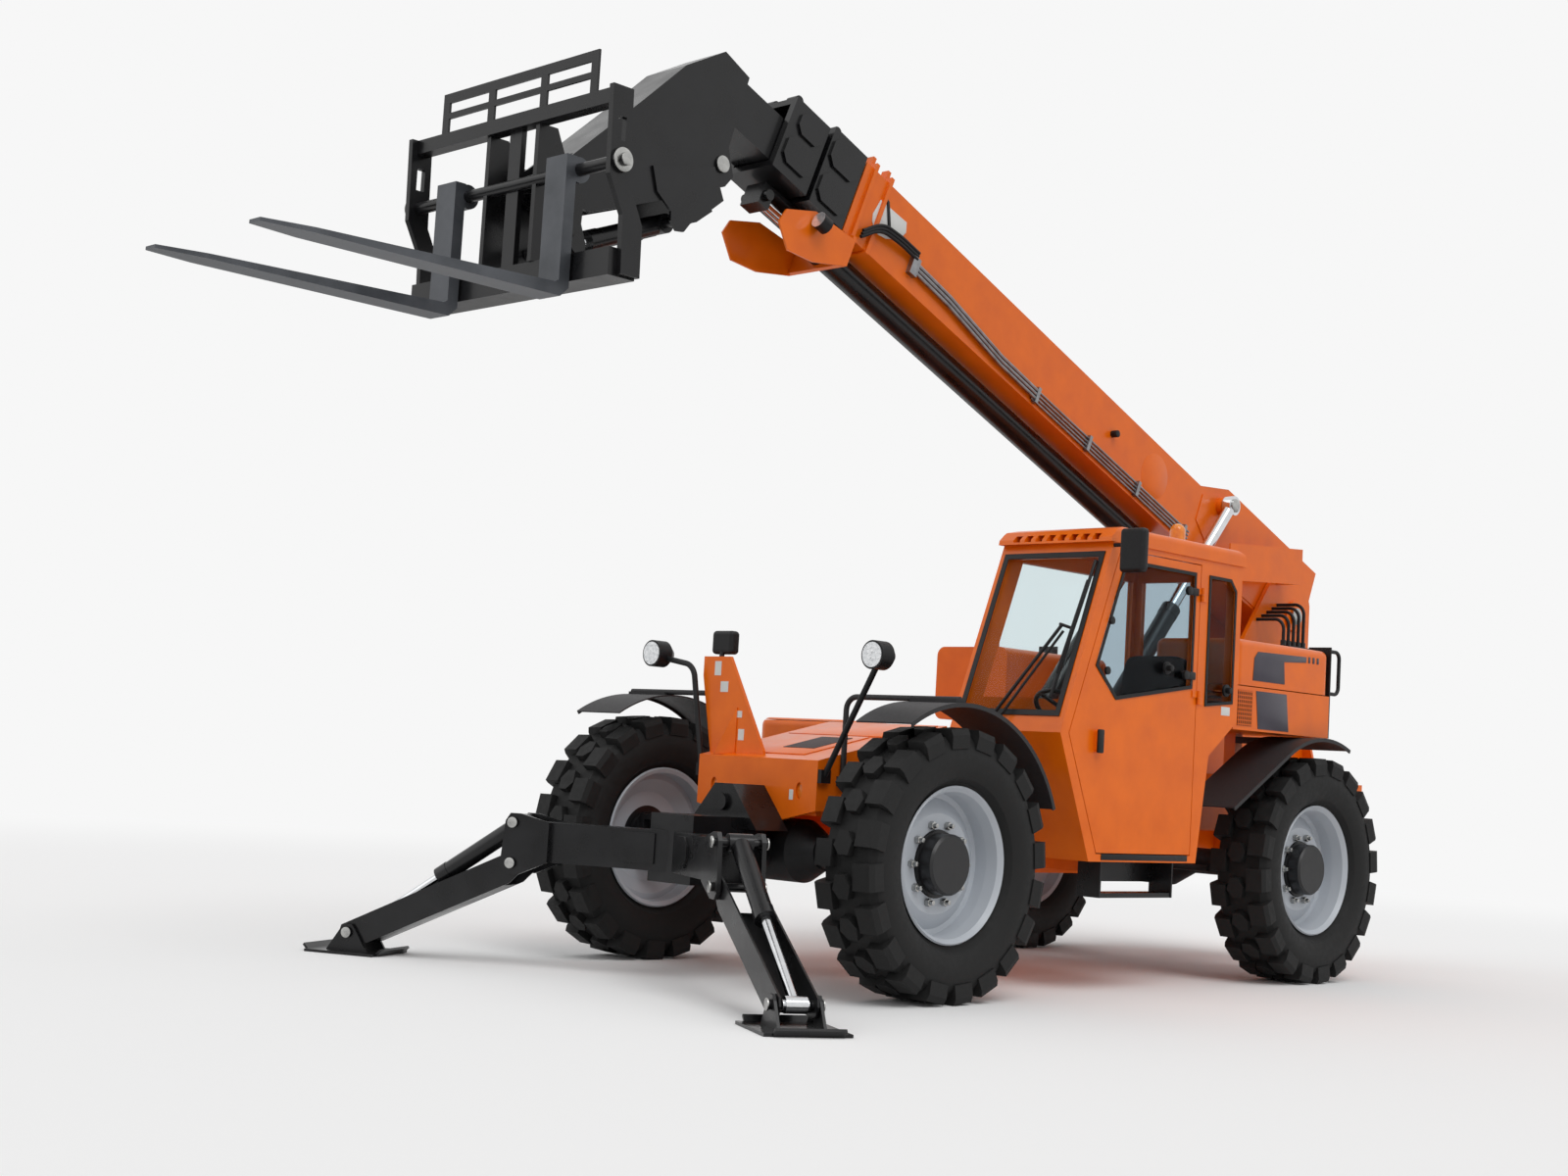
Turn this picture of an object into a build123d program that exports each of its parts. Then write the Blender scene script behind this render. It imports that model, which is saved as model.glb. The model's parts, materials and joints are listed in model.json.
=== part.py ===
import math
import os

from build123d import *

# Telehandler with front outriggers, millimetres, +X forward, +Y to the cab side, +Z up.
# Everything is drawn with x = 0 at the front axle and z = 0 on the ground, and moved
# along X at the end so that the origin is on the ground below the middle of the whole.

# Wheels and axles
TYRE_RADIUS = 685.0
TYRE_WIDTH = 380.0
TREAD_DEPTH = 42.0
TRACK_HALF = 1080.0
WHEELBASE = 3440.0
RIM_FLANGE_RADIUS = 395.0
RIM_WIDTH = 274.0
RIM_WALL = 9.0
HUB_RADIUS = 153.0
HUB_RECESS = 22.0
DISC_RECESS = 120.0
SPINDLE_RADIUS = 55.0
KINGPIN_INSET = 150.0
KINGPIN_RADIUS = 30.0
AXLE_TUBE_RADIUS = 95.0
MOVING_GAP = 6.0
PIN_GAP = 0.05
LUG_PITCHES = 20

# Frame and nose
SPINE_HALF = 425.0
SPINE_PLATE = 25.0
SPINE_BOTTOM = 600.0
SPINE_TOP = 1100.0
NOSE_FRONT_X = 215.0
NOSE_HALF = 446.0
NOSE_TOP_Z = 1166.0
DECK_REAR_X = -800.0
DECK_REAR_Z = 1400.0
FRAME_REAR_X = -4830.0

# Boom
BOOM_Y = 60.0
BOOM_ANGLE = 21.5
PIVOT_X = -4620.0
PIVOT_Z = 2360.0
PIVOT_PIN_RADIUS = 45.0
BOOM_HALF = 180.0
BOOM_BOTTOM = -160.0
BOOM_TOP = 290.0
BOOM_REAR_U = -200.0
BOOM_FRONT_U = 4950.0
SHOULDER_TOP = 440.0
SHOULDER_END_U = 1030.0
SHOULDER_TOE_U = 1330.0
BOOM_WALL = 10.0
STAGE_WALL = 9.0
STAGE_GAP = 8.0
STAGE_STROKE = 3000.0
COLLAR_GAP = 20.0
EXTEND_W = -248.0
EXTEND_RADIUS = 72.0
EXTEND_ROD_RADIUS = 38.0
EXTEND_REAR_U = 1500.0

# Lift cylinders
LIFT_PIN_U = 1075.0
LIFT_PIN_W = 275.0
LIFT_BASE_X = -1930.0
LIFT_BASE_Z = 950.0
LIFT_RADIUS = 60.0
LIFT_ROD_RADIUS = 38.0
LIFT_OFFSET = 268.0
LIFT_BARREL_LENGTH = 1750.0

# Head, carriage and forks
TILT_X = 1930.0
TILT_Z = 3860.0
ROD_EYE_X = 1895.0
ROD_EYE_Z = 3535.0
TILT_BASE_X = 1210.0
TILT_BASE_Z = 3815.0
TILT_RADIUS = 52.0
TILT_ROD_RADIUS = 28.0
HEAD_HALF = 150.0
CARRIAGE_HALF = 780.0
CARRIAGE_BOTTOM_Z = 3270.0
CARRIAGE_TOP_Z = 4130.0
GUARD_TOP_Z = 4340.0
GUARD_HALF = 590.0
SHAFT_X = 2140.0
SHAFT_Z = 3790.0
SHAFT_RADIUS = 30.0
FORK_SPREAD_HALF = 420.0
FORK_WIDTH = 150.0
FORK_THICK = 60.0
FORK_LENGTH = 1524.0
FORK_HEEL_X = 2220.0
FORK_BOTTOM_Z = 3190.0

# Cab
CAB_OUT = 1200.0
CAB_IN = 440.0
CAB_WALL = 40.0
CAB_FLOOR_Z = 715.0
CAB_ROOF_Z = 2450.0
CAB_TOP_Z = 2545.0
CAB_BEND_X = -830.0
CAB_BEND_Z = 1390.0
CAB_TOE_X = -1130.0
CAB_BROW_X = -1230.0
CAB_REAR_X = -2520.0
CAB_POST_X = -2110.0
CAB_WAIST_Z = 1540.0
CAB_TAIL_Z = 1330.0
GLASS = 6.0

# Fenders and pods
FENDER_RADIUS = 800.0
FENDER_SHEET = 8.0
FENDER_IN = 890.0
FENDER_OUT = 1255.0
POD_FRONT_X = -2560.0
POD_REAR_X = -3640.0
POD_IN = 560.0
POD_OUT = 1150.0
POD_BOTTOM_Z = 1500.0
POD_TOP_Z = 2040.0
POD_SHEET = 12.0
ENGINE_POD_FRONT_X = -950.0
ENGINE_POD_REAR_X = -2420.0
ENGINE_POD_BOTTOM_Z = 760.0
ENGINE_POD_SPLIT_Z = 1120.0
ENGINE_POD_TOP_Z = 1420.0
ENGINE_POD_IN = -480.0
ENGINE_POD_OUT = -1190.0

# Outriggers
LEG_YAW = 27.0
LEG_X = 1110.0
LEG_Y = 816.0
LEG_PIN_Z = 542.0
LEG_CYL_PIN_Z = 752.0
LEG_LENGTH = 1020.0
LEG_HALF = 92.0
LEG_DEPTH = 150.0
LEG_SHEET = 10.0
LEG_PIN_RADIUS = 22.0
PAD_PIN_Z = 110.0
PAD_LENGTH = 400.0
PAD_WIDTH = 400.0
PAD_SHEET = 14.0
LEG_CYL_RADIUS = 48.0
LEG_CYL_ROD_RADIUS = 26.0
LEG_CYL_BARREL = 560.0
ARM_BOTTOM_Z = 555.0
ARM_TOP_Z = 762.0
ARM_HALF = 85.0

STEER_AXIS_Y = TRACK_HALF - KINGPIN_INSET
REAR_AXLE_X = -WHEELBASE
TAIL_X = PIVOT_X + BOOM_REAR_U * math.cos(math.radians(BOOM_ANGLE))
TAIL_X -= SHOULDER_TOP * math.sin(math.radians(BOOM_ANGLE))
TIP_X = FORK_HEEL_X + FORK_LENGTH
SHIFT_X = -(TAIL_X + TIP_X) / 2


def block(x0, x1, y0, y1, z0, z1):
    size = (abs(x1 - x0), abs(y1 - y0), abs(z1 - z0))
    return Pos((x0 + x1) / 2, (y0 + y1) / 2, (z0 + z1) / 2) * Box(*size)


def slab(points, y0, y1):
    # A plate with its outline in the XZ plane, from y0 to y1.
    face = make_face(Polyline(*[(x, 0, z) for x, z in points], close=True))
    solid = extrude(face, amount=abs(y1 - y0), dir=(0, 1, 0))
    return Pos(0, min(y0, y1), 0) * solid


def wall(points, x0, x1):
    # A plate with its outline in the YZ plane, from x0 to x1.
    face = make_face(Polyline(*[(0, y, z) for y, z in points], close=True))
    solid = extrude(face, amount=abs(x1 - x0), dir=(1, 0, 0))
    return Pos(min(x0, x1), 0, 0) * solid


def sheet(points, z0, z1):
    # A plate with its outline in the XY plane, from z0 to z1.
    face = make_face(Polyline(*[(x, y, 0) for x, y in points], close=True))
    solid = extrude(face, amount=abs(z1 - z0), dir=(0, 0, 1))
    return Pos(0, 0, min(z0, z1)) * solid


def rod(start, end, radius):
    a = Vector(*start)
    b = Vector(*end)
    plane = Plane(origin=a, z_dir=b - a)
    return extrude(plane * Circle(radius), amount=(b - a).length)


def bar_y(x, z, y0, y1, radius):
    return rod((x, min(y0, y1), z), (x, max(y0, y1), z), radius)


def tube_run(points, radius, bend):
    # A round tube along straight runs joined by tangent arcs.
    path = FilletPolyline(*points, radius=bend)
    start = path @ 0
    plane = Plane(origin=start, z_dir=path % 0)
    return sweep(plane * Circle(radius), path=path)


def fuse(shapes):
    shapes = list(shapes)
    result = shapes[0]
    if len(shapes) > 1:
        result = result.fuse(*shapes[1:])
    return result


def group(shapes):
    return Compound(children=list(shapes))


def on_boom(shape):
    return Pos(PIVOT_X, BOOM_Y, PIVOT_Z) * Rot(0, -BOOM_ANGLE, 0) * shape


def boom_point(u, w):
    a = math.radians(BOOM_ANGLE)
    x = PIVOT_X + u * math.cos(a) - w * math.sin(a)
    z = PIVOT_Z + u * math.sin(a) + w * math.cos(a)
    return x, z


def at_leg(shape, side):
    # Local x points out along the leg's plan direction, local y is the plate normal.
    placed = Pos(LEG_X, LEG_Y, 0) * Rot(0, 0, 90 - LEG_YAW) * shape
    if side > 0:
        return placed
    return mirror(placed, about=Plane.XZ)


def save(name, shape):
    os.makedirs("parts", exist_ok=True)
    export_step(Pos(SHIFT_X, 0, 0) * shape, "parts/" + name + ".step")


# Wheels
def make_tyre():
    base_r = TYRE_RADIUS - TREAD_DEPTH
    half = TYRE_WIDTH / 2
    seat_r = RIM_FLANGE_RADIUS - 14
    with BuildPart() as carcass:
        with BuildSketch(Plane.YZ):
            with BuildLine():
                Polyline((-112, seat_r), (112, seat_r), (124, seat_r + 30))
                Line((124, seat_r + 30), (half - 32, seat_r + 52))
                ThreePointArc((half - 32, seat_r + 52), (half - 6, 510), (half - 22, base_r - 34))
                Polyline((half - 22, base_r - 34), (half - 52, base_r), (52 - half, base_r))
                Line((52 - half, base_r), (22 - half, base_r - 34))
                ThreePointArc((22 - half, base_r - 34), (6 - half, 510), (32 - half, seat_r + 52))
                Polyline((32 - half, seat_r + 52), (-124, seat_r + 30), (-112, seat_r))
            make_face()
        revolve(axis=Axis.Y)
    body = carcass.part
    pitch = 360 / LUG_PITCHES
    top = math.sqrt(TYRE_RADIUS**2 - 66**2)
    shoulder_side = [(half - 118, base_r - 12), (half - 118, top), (half - 12, top - 3)]
    shoulder_side += [(half, top - 34), (half - 4, base_r - 62), (half - 60, base_r - 62)]
    face = make_face(Polyline(*[(0, y, r) for y, r in shoulder_side], close=True))
    shoulder = Pos(-66, 0, 0) * extrude(face, amount=132, dir=(1, 0, 0))
    centre_top = math.sqrt(TYRE_RADIUS**2 - 58**2)
    outline = [(-58, -34), (-58, 22), (-8, 58), (58, 40), (58, -20), (14, -58)]
    centre = make_face(Polyline(*[(x, y, 0) for x, y in outline], close=True))
    centre = Pos(0, 0, base_r - 8) * extrude(centre, amount=centre_top - base_r + 8, dir=(0, 0, 1))
    lugs = []
    phase = math.degrees(math.asin(66 / TYRE_RADIUS))
    for i in range(LUG_PITCHES):
        turn = 180 + phase + i * pitch
        lugs.append(Rot(0, turn, 0) * shoulder)
        lugs.append(Rot(0, turn + pitch / 2, 0) * mirror(shoulder, about=Plane.XZ))
        lugs.append(Rot(0, turn + pitch / 4, 0) * Pos(0, -4, 0) * centre)
    return fuse([body] + lugs)


def make_rim():
    # The outer flange is at +Y, and the dish is open to that side.
    half = RIM_WIDTH / 2
    lip = RIM_FLANGE_RADIUS
    barrel = [(half, lip - 8), (half - 8, lip), (half - 16, lip - 4), (half - 22, lip - 18)]
    barrel += [(half - 92, lip - 26), (-60, lip - 26), (-half + 22, lip - 18)]
    barrel += [(-half + 16, lip - 4), (-half + 8, lip), (-half, lip - 8)]
    barrel += [(-half + 12, lip - 30), (-60, lip - 38), (half - 92, lip - 38), (half - 26, lip - 30)]
    disc_y = half - DISC_RECESS
    disc = [(disc_y, 70), (disc_y, 252), (disc_y - 46, lip - 66), (disc_y - 40, lip - 36)]
    disc += [(disc_y - 62, lip - 36), (disc_y - 66, lip - 70), (disc_y - 16, 252), (disc_y - 16, 70)]
    hub_y = half - HUB_RECESS
    hub = [(disc_y - 2, SPINDLE_RADIUS + 2), (disc_y - 2, HUB_RADIUS + 14), (disc_y + 14, HUB_RADIUS + 14)]
    hub += [(disc_y + 14, HUB_RADIUS), (hub_y - 12, HUB_RADIUS), (hub_y, HUB_RADIUS - 12), (hub_y, 0)]
    hub += [(disc_y + 40, 0), (disc_y + 40, SPINDLE_RADIUS + 2)]
    rings = []
    for outline in (barrel, disc, hub):
        face = make_face(Polyline(*[(0, y, r) for y, r in outline], close=True))
        rings.append(revolve(face, axis=Axis.Y, revolution_arc=360))
    return fuse(rings)


def place_wheel(shape, x, side):
    if side < 0:
        shape = mirror(shape, about=Plane.XZ)
    return Pos(x, side * TRACK_HALF, TYRE_RADIUS) * shape


# Knuckle: two ears on the kingpin, an outer wall and the spindle drum
def make_knuckle(x, side, arm_dir):
    y = STEER_AXIS_Y
    z = TYRE_RADIUS
    ear_r = 80.0
    ear_in = 95.0
    ear_out = 127.0
    wall_y0 = y + ear_r + MOVING_GAP
    wall_y1 = wall_y0 + 38
    parts = []
    for s in (-1, 1):
        z0 = z + s * ear_in
        z1 = z + s * ear_out
        parts.append(rod((x, y, min(z0, z1)), (x, y, max(z0, z1)), ear_r))
        parts.append(block(x - ear_r, x + ear_r, y, wall_y1, z0, z1))
        parts.append(rod((x, y, z + s * 40), (x, y, z + s * (ear_out + 14)), KINGPIN_RADIUS))
    parts.append(block(x - ear_r, x + ear_r, wall_y0, wall_y1, z - ear_out, z + ear_out))
    disc_inner = TRACK_HALF + RIM_WIDTH / 2 - DISC_RECESS - 16
    parts.append(bar_y(x, z, wall_y1 - 2, disc_inner - MOVING_GAP, 138))
    parts.append(bar_y(x, z, wall_y1 - 2, disc_inner + 36, SPINDLE_RADIUS))
    arm = [(x - 30, y - 20), (x + 30, y - 20), (x + arm_dir * 190 + 26, y - 62)]
    arm += [(x + arm_dir * 190 - 26, y - 62)]
    if arm_dir < 0:
        arm = [(x + 30, y - 20), (x - 30, y - 20), (x - 190 - 26, y - 62), (x - 190 + 26, y - 62)]
    parts.append(sheet(arm, z - ear_out, z - ear_out + 28))
    knuckle = fuse(parts)
    if side < 0:
        knuckle = mirror(knuckle, about=Plane.XZ)
    return knuckle


# Axle: a tube with a differential and a bored boss at each end for the kingpins
def make_axle(x, cover_dir):
    z = TYRE_RADIUS
    y = STEER_AXIS_Y
    parts = [bar_y(x, z, -(y - 60), y - 60, AXLE_TUBE_RADIUS - 14)]
    with BuildPart() as housing:
        with BuildSketch(Plane.YZ):
            Polygon((-330, 0), (-330, 92), (-190, 168), (190, 168), (330, 92), (330, 0), align=None)
        revolve(axis=Axis.Y)
    parts.append(Pos(x, 0, z) * housing.part)
    cover = rod((x, 0, z), (x + cover_dir * 190, 0, z), 108)
    parts.append(cover)
    for s in (-1, 1):
        parts.append(rod((x, s * y, z - 88), (x, s * y, z + 88), 72))
    axle = fuse(parts)
    for s in (-1, 1):
        axle = axle - rod((x, s * y, z - 90), (x, s * y, z + 90), KINGPIN_RADIUS + 2)
    steer_x = x - cover_dir * 170
    cylinder = bar_y(steer_x, z - 40, -210, 210, 38)
    rods = bar_y(steer_x, z - 40, -560, 560, 20)
    lugs = []
    for s in (-1, 1):
        lugs.append(block(steer_x, x, s * 120, s * 170, z - 70, z - 15))
    axle = fuse([axle, cylinder, rods] + lugs)
    return axle


# Frame: side plates arched over the axles, cross members, tower and shroud
TOWER_GAP = 12.0
TOWER_PLATE = 30.0
TOWER_IN_L = BOOM_Y + BOOM_HALF + TOWER_GAP
TOWER_IN_R = BOOM_Y - BOOM_HALF - TOWER_GAP
ARCH_Z = 880.0
BELLY = 12.0


def make_frame():
    side = [(NOSE_FRONT_X - 30, ARCH_Z), (-300, ARCH_Z), (-420, SPINE_BOTTOM), (-2980, SPINE_BOTTOM)]
    side += [(REAR_AXLE_X + 330, ARCH_Z), (REAR_AXLE_X - 330, ARCH_Z), (-3950, 720)]
    side += [(FRAME_REAR_X, 720), (FRAME_REAR_X, 1250), (-3300, 1250), (-2900, SPINE_TOP)]
    side += [(NOSE_FRONT_X - 30, SPINE_TOP)]
    parts = []
    for s in (-1, 1):
        parts.append(slab(side, s * (SPINE_HALF - SPINE_PLATE), s * SPINE_HALF))
    y_in = SPINE_HALF - SPINE_PLATE
    parts.append(block(-2980, -420, -y_in, y_in, SPINE_BOTTOM, SPINE_BOTTOM + BELLY))
    parts.append(block(NOSE_FRONT_X - 60, NOSE_FRONT_X - 30, -y_in, y_in, ARCH_Z, SPINE_TOP))
    parts.append(block(-330, -300, -y_in, y_in, ARCH_Z, SPINE_TOP))
    parts.append(block(-3140, -3110, -y_in, y_in, ARCH_Z + 40, 1180))
    parts.append(block(-3800, -3770, -y_in, y_in, ARCH_Z, 1180))
    tower = [(-3250, 1000), (-3250, 1150), (-4300, 2540), (-4400, 2640), (-4780, 2600)]
    tower += [(FRAME_REAR_X, 2450), (FRAME_REAR_X, 1000)]
    parts.append(slab(tower, TOWER_IN_L, TOWER_IN_L + TOWER_PLATE))
    parts.append(slab(tower, TOWER_IN_R - TOWER_PLATE, TOWER_IN_R))
    rear = [(-y_in, 720), (y_in, 720), (y_in, 1250), (TOWER_IN_L + TOWER_PLATE, 1700)]
    rear += [(TOWER_IN_L + TOWER_PLATE, 1950), (TOWER_IN_R - TOWER_PLATE, 1950)]
    rear += [(TOWER_IN_R - TOWER_PLATE, 1700), (-y_in, 1250)]
    parts.append(wall(rear, FRAME_REAR_X, FRAME_REAR_X + 25))
    front = [(-y_in, 1000), (y_in, 1000), (y_in, 1240), (-y_in, 1240)]
    parts.append(wall(front, -3300, -3275))
    parts.append(bar_y(PIVOT_X, PIVOT_Z, TOWER_IN_R - 52, TOWER_IN_L + 52, PIVOT_PIN_RADIUS))
    for y0, y1 in ((TOWER_IN_L, TOWER_IN_L + 44), (TOWER_IN_R - 44, TOWER_IN_R)):
        parts.append(bar_y(PIVOT_X, PIVOT_Z, y0, y1, 105))
    # Shroud over the hoses, carried from the tower by its rear return
    shroud_y = 430
    shroud = [(-3560, 2500), (-4450, 2560), (-4450, 2800), (-3560, 2740)]
    parts.append(slab(shroud, shroud_y, shroud_y + 10))
    parts.append(block(-4450, -4438, TOWER_IN_L, shroud_y + 10, 2565, 2625))
    parts.append(block(-4438, -4380, TOWER_IN_L, shroud_y, 2560, 2580))
    # Brackets for the pods and the rear fenders
    for s in (-1, 1):
        x0 = REAR_AXLE_X + 60
        x1 = REAR_AXLE_X + 140
        parts.append(block(x0, x1, s * y_in, s * 700, 1170, 1240))
        parts.append(block(x0, x1, s * 620, s * 700, 1170, POD_BOTTOM_Z))
        parts.append(block(-2700, -2640, s * y_in, s * 620, 1000, 1050))
        parts.append(block(-2700, -2640, s * 560, s * 620, 1050, POD_BOTTOM_Z))
    # Lugs that carry the lift cylinders' lower pins
    for s in (-1, 1):
        y_mid = BOOM_Y + s * LIFT_OFFSET
        for t in (-1, 1):
            y_a = y_mid + t * 42
            y_b = y_mid + t * 62
            lug = [(LIFT_BASE_X - 110, SPINE_BOTTOM + BELLY), (LIFT_BASE_X + 110, SPINE_BOTTOM + BELLY)]
            lug += [(LIFT_BASE_X + 60, LIFT_BASE_Z + 55), (LIFT_BASE_X - 60, LIFT_BASE_Z + 55)]
            parts.append(slab(lug, min(y_a, y_b), max(y_a, y_b)))
        parts.append(bar_y(LIFT_BASE_X, LIFT_BASE_Z, y_mid - 66, y_mid + 66, 32))
    # Cab and engine pod bearers
    parts.append(block(-1420, -1340, y_in, 1034, 650, CAB_FLOOR_Z))
    parts.append(block(-2080, -2000, y_in, 1034, 650, CAB_FLOOR_Z))
    parts.append(block(-1200, -1120, -y_in, -1050, 690, ENGINE_POD_BOTTOM_Z))
    parts.append(block(-2260, -2180, -y_in, -1050, 690, ENGINE_POD_BOTTOM_Z))
    return fuse(parts)


def make_nose():
    # Box with a V at the foot of its face, and a deck that rises to the cab's foot.
    front = [(-NOSE_HALF, 905), (0, 800), (NOSE_HALF, 905), (NOSE_HALF, NOSE_TOP_Z)]
    front += [(-NOSE_HALF, NOSE_TOP_Z)]
    face = wall(front, NOSE_FRONT_X - 30, NOSE_FRONT_X)
    for s in (-1, 1):
        hole = Pos(NOSE_FRONT_X - 15, s * 320, 1003) * Rot(0, 90, 0) * extrude(
            Ellipse(44, 24), amount=40, both=True)
        face = face - hole
    deck = [(NOSE_FRONT_X, NOSE_TOP_Z - 14), (NOSE_FRONT_X, NOSE_TOP_Z), (DECK_REAR_X, DECK_REAR_Z)]
    deck += [(DECK_REAR_X, DECK_REAR_Z - 14)]
    cheek = [(NOSE_FRONT_X - 30, SPINE_TOP), (NOSE_FRONT_X - 30, NOSE_TOP_Z - 8)]
    cheek += [(DECK_REAR_X, DECK_REAR_Z - 8), (DECK_REAR_X, SPINE_TOP)]
    parts = [face, slab(deck, -NOSE_HALF, NOSE_HALF)]
    for s in (-1, 1):
        parts.append(slab(cheek, s * (NOSE_HALF - 21), s * NOSE_HALF))
        lower = [(NOSE_FRONT_X - 30, 905), (NOSE_FRONT_X - 30, SPINE_TOP), (-260, SPINE_TOP), (-260, 905)]
        parts.append(slab(lower, s * (SPINE_HALF), s * NOSE_HALF))
    parts.append(block(DECK_REAR_X, DECK_REAR_X + 12, -NOSE_HALF, NOSE_HALF, SPINE_TOP, DECK_REAR_Z - 12))
    # Mirror post: a plate that narrows and leans outward, with a side gusset
    post_x = 140
    post = [(-430, NOSE_TOP_Z - 6), (-20, NOSE_TOP_Z - 6), (-26, 1200), (-318, 1705), (-525, 1705)]
    post += [(-525, 1600)]
    parts.append(wall(post, post_x - 10, post_x + 10))
    gusset = [(post_x - 10, NOSE_TOP_Z + 10), (post_x - 10, 1480), (post_x - 190, NOSE_TOP_Z + 52)]
    gusset += [(post_x - 190, NOSE_TOP_Z + 30)]
    parts.append(slab(gusset, -430, -418))
    parts.append(slab(gusset, -312, -300))
    return fuse(parts)


def make_counterweight():
    body = block(FRAME_REAR_X, -4240, -700, 700, 760, 1240)
    body = body - block(FRAME_REAR_X - 1, -4239, -SPINE_HALF, SPINE_HALF, 700, 1300)
    left = block(FRAME_REAR_X, -4260, SPINE_HALF, 760, 740, 1230)
    right = block(FRAME_REAR_X, -4260, -760, -SPINE_HALF, 740, 1230)
    shapes = []
    for part in (left, right):
        edges = part.edges().filter_by(Axis.Z)
        outer = [e for e in edges if abs(e.center().Y) > 700]
        shapes.append(fillet(outer, 60))
    return group(shapes)


def strip(outline_edges, y0, y1):
    face = make_face(outline_edges)
    solid = extrude(face, amount=abs(y1 - y0))
    return Pos(0, max(y0, y1), 0) * Rot(90, 0, 0) * solid


def arc_band(cx, cz, r0, r1, a0, a1, y0, y1):
    inner = CenterArc((cx, cz), r0, a0, a1 - a0)
    outer = CenterArc((cx, cz), r1, a0, a1 - a0)
    edges = [inner, outer, Line(inner @ 0, outer @ 0), Line(inner @ 1, outer @ 1)]
    return strip(edges, y0, y1)


def fender_band(cx, cz, r0, r1, a0, a1, foot, y0, y1):
    # An arc from a1 to a0, then straight on along the tangent at a0 for the length foot.
    inner = CenterArc((cx, cz), r0, a0, a1 - a0)
    outer = CenterArc((cx, cz), r1, a0, a1 - a0)
    a = math.radians(a0)
    step = Vector(math.sin(a) * foot, -math.cos(a) * foot, 0)
    p_in = inner @ 0
    p_out = outer @ 0
    edges = [inner, outer, Line(inner @ 1, outer @ 1), Line(p_in, p_in + step)]
    edges += [Line(p_in + step, p_out + step), Line(p_out + step, p_out)]
    return strip(edges, y0, y1)


def make_fenders():
    solids = []
    r0 = FENDER_RADIUS
    r1 = FENDER_RADIUS + FENDER_SHEET
    lip = r0 - 14
    z = TYRE_RADIUS
    for s in (-1, 1):
        y0 = s * FENDER_IN
        y1 = s * FENDER_OUT
        ylip = s * (FENDER_OUT - 8)
        band = arc_band(0, z, r0, r1, 58, 158, y0, y1)
        edge = arc_band(0, z, lip, r1, 58, 158, ylip, y1)
        stay_z = z + r1 + 14
        stay = tube_run([(40, s * 462, 1050), (40, s * 462, stay_z), (40, s * 1230, stay_z)], 15, 70)
        tab = block(10, 70, s * 446, s * 478, 1040, 1090)
        bed = block(10, 70, s * 920, s * 1230, z + r1 - 8, stay_z - 2)
        solids.append(fuse([band, edge, stay, tab, bed]))
        foot = 680.0
        rear = fender_band(REAR_AXLE_X, z, r0, r1, 60, 112, foot, y0, y1)
        rear_edge = fender_band(REAR_AXLE_X, z, lip, r1, 60, 112, foot, ylip, y1)
        x0 = REAR_AXLE_X + 60
        bracket = block(x0, x0 + 80, s * 700, s * 905, 1440, 1480)
        solids.append(fuse([rear, rear_edge, bracket]))
    return group(solids)


# Pods behind the cab: trays with a hinged lid, a tank on the far side
POD_LID_Z = 1760.0
LID_GAP = 6.0


def open_tray(x0, x1, y0, y1, z0, z1, t):
    outer = block(x0, x1, y0, y1, z0, z1)
    ya = min(y0, y1) + t
    yb = max(y0, y1) - t
    xa = min(x0, x1) + t
    xb = max(x0, x1) - t
    return outer - block(xa, xb, ya, yb, z0 + t, z1 + 1)


def lid(x0, x1, y0, y1, z0, z1, t, corner):
    outer = block(x0, x1, y0, y1, z0, z1)
    edges = outer.edges().filter_by(Axis.Z)
    outer = fillet(edges, corner)
    top_edges = outer.edges().group_by(Axis.Z)[-1]
    outer = fillet(top_edges, corner * 0.6)
    ya = min(y0, y1) + t
    yb = max(y0, y1) - t
    xa = min(x0, x1) + t
    xb = max(x0, x1) - t
    inner = block(xa, xb, ya, yb, z0 - 1, z1 - t)
    inner_edges = inner.edges().filter_by(Axis.Z)
    inner = fillet(inner_edges, corner * 0.8)
    return outer - inner


def make_pods():
    left = open_tray(POD_REAR_X, POD_FRONT_X, POD_IN, POD_OUT, POD_BOTTOM_Z, POD_LID_Z, POD_SHEET)
    for i in range(6):
        z = POD_BOTTOM_Z + 50 + i * 32
        slot = block(POD_FRONT_X - 40, POD_FRONT_X + 1, POD_IN + 90, POD_OUT - 90, z, z + 16)
        left = left - slot
    engine = open_tray(ENGINE_POD_REAR_X, ENGINE_POD_FRONT_X, ENGINE_POD_OUT, ENGINE_POD_IN,
                       ENGINE_POD_BOTTOM_Z, ENGINE_POD_SPLIT_Z, POD_SHEET)
    back = block(ENGINE_POD_REAR_X, ENGINE_POD_FRONT_X, ENGINE_POD_IN - POD_SHEET, ENGINE_POD_IN,
                 ENGINE_POD_SPLIT_Z - 5, ENGINE_POD_TOP_Z - 60)
    return group([left, fuse([engine, back])])


def make_tank():
    tank = block(POD_REAR_X, POD_FRONT_X, -POD_OUT, -POD_IN, POD_BOTTOM_Z, POD_TOP_Z - 60)
    tank = fillet(tank.edges().filter_by(Axis.X), 60)
    cap = rod((-2760, -860, POD_TOP_Z - 70), (-2760, -860, POD_TOP_Z - 20), 55)
    return fuse([tank, cap])


def make_pod_lid():
    return lid(POD_REAR_X, POD_FRONT_X, POD_IN, POD_OUT, POD_LID_Z + LID_GAP, POD_TOP_Z, POD_SHEET, 70)


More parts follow.
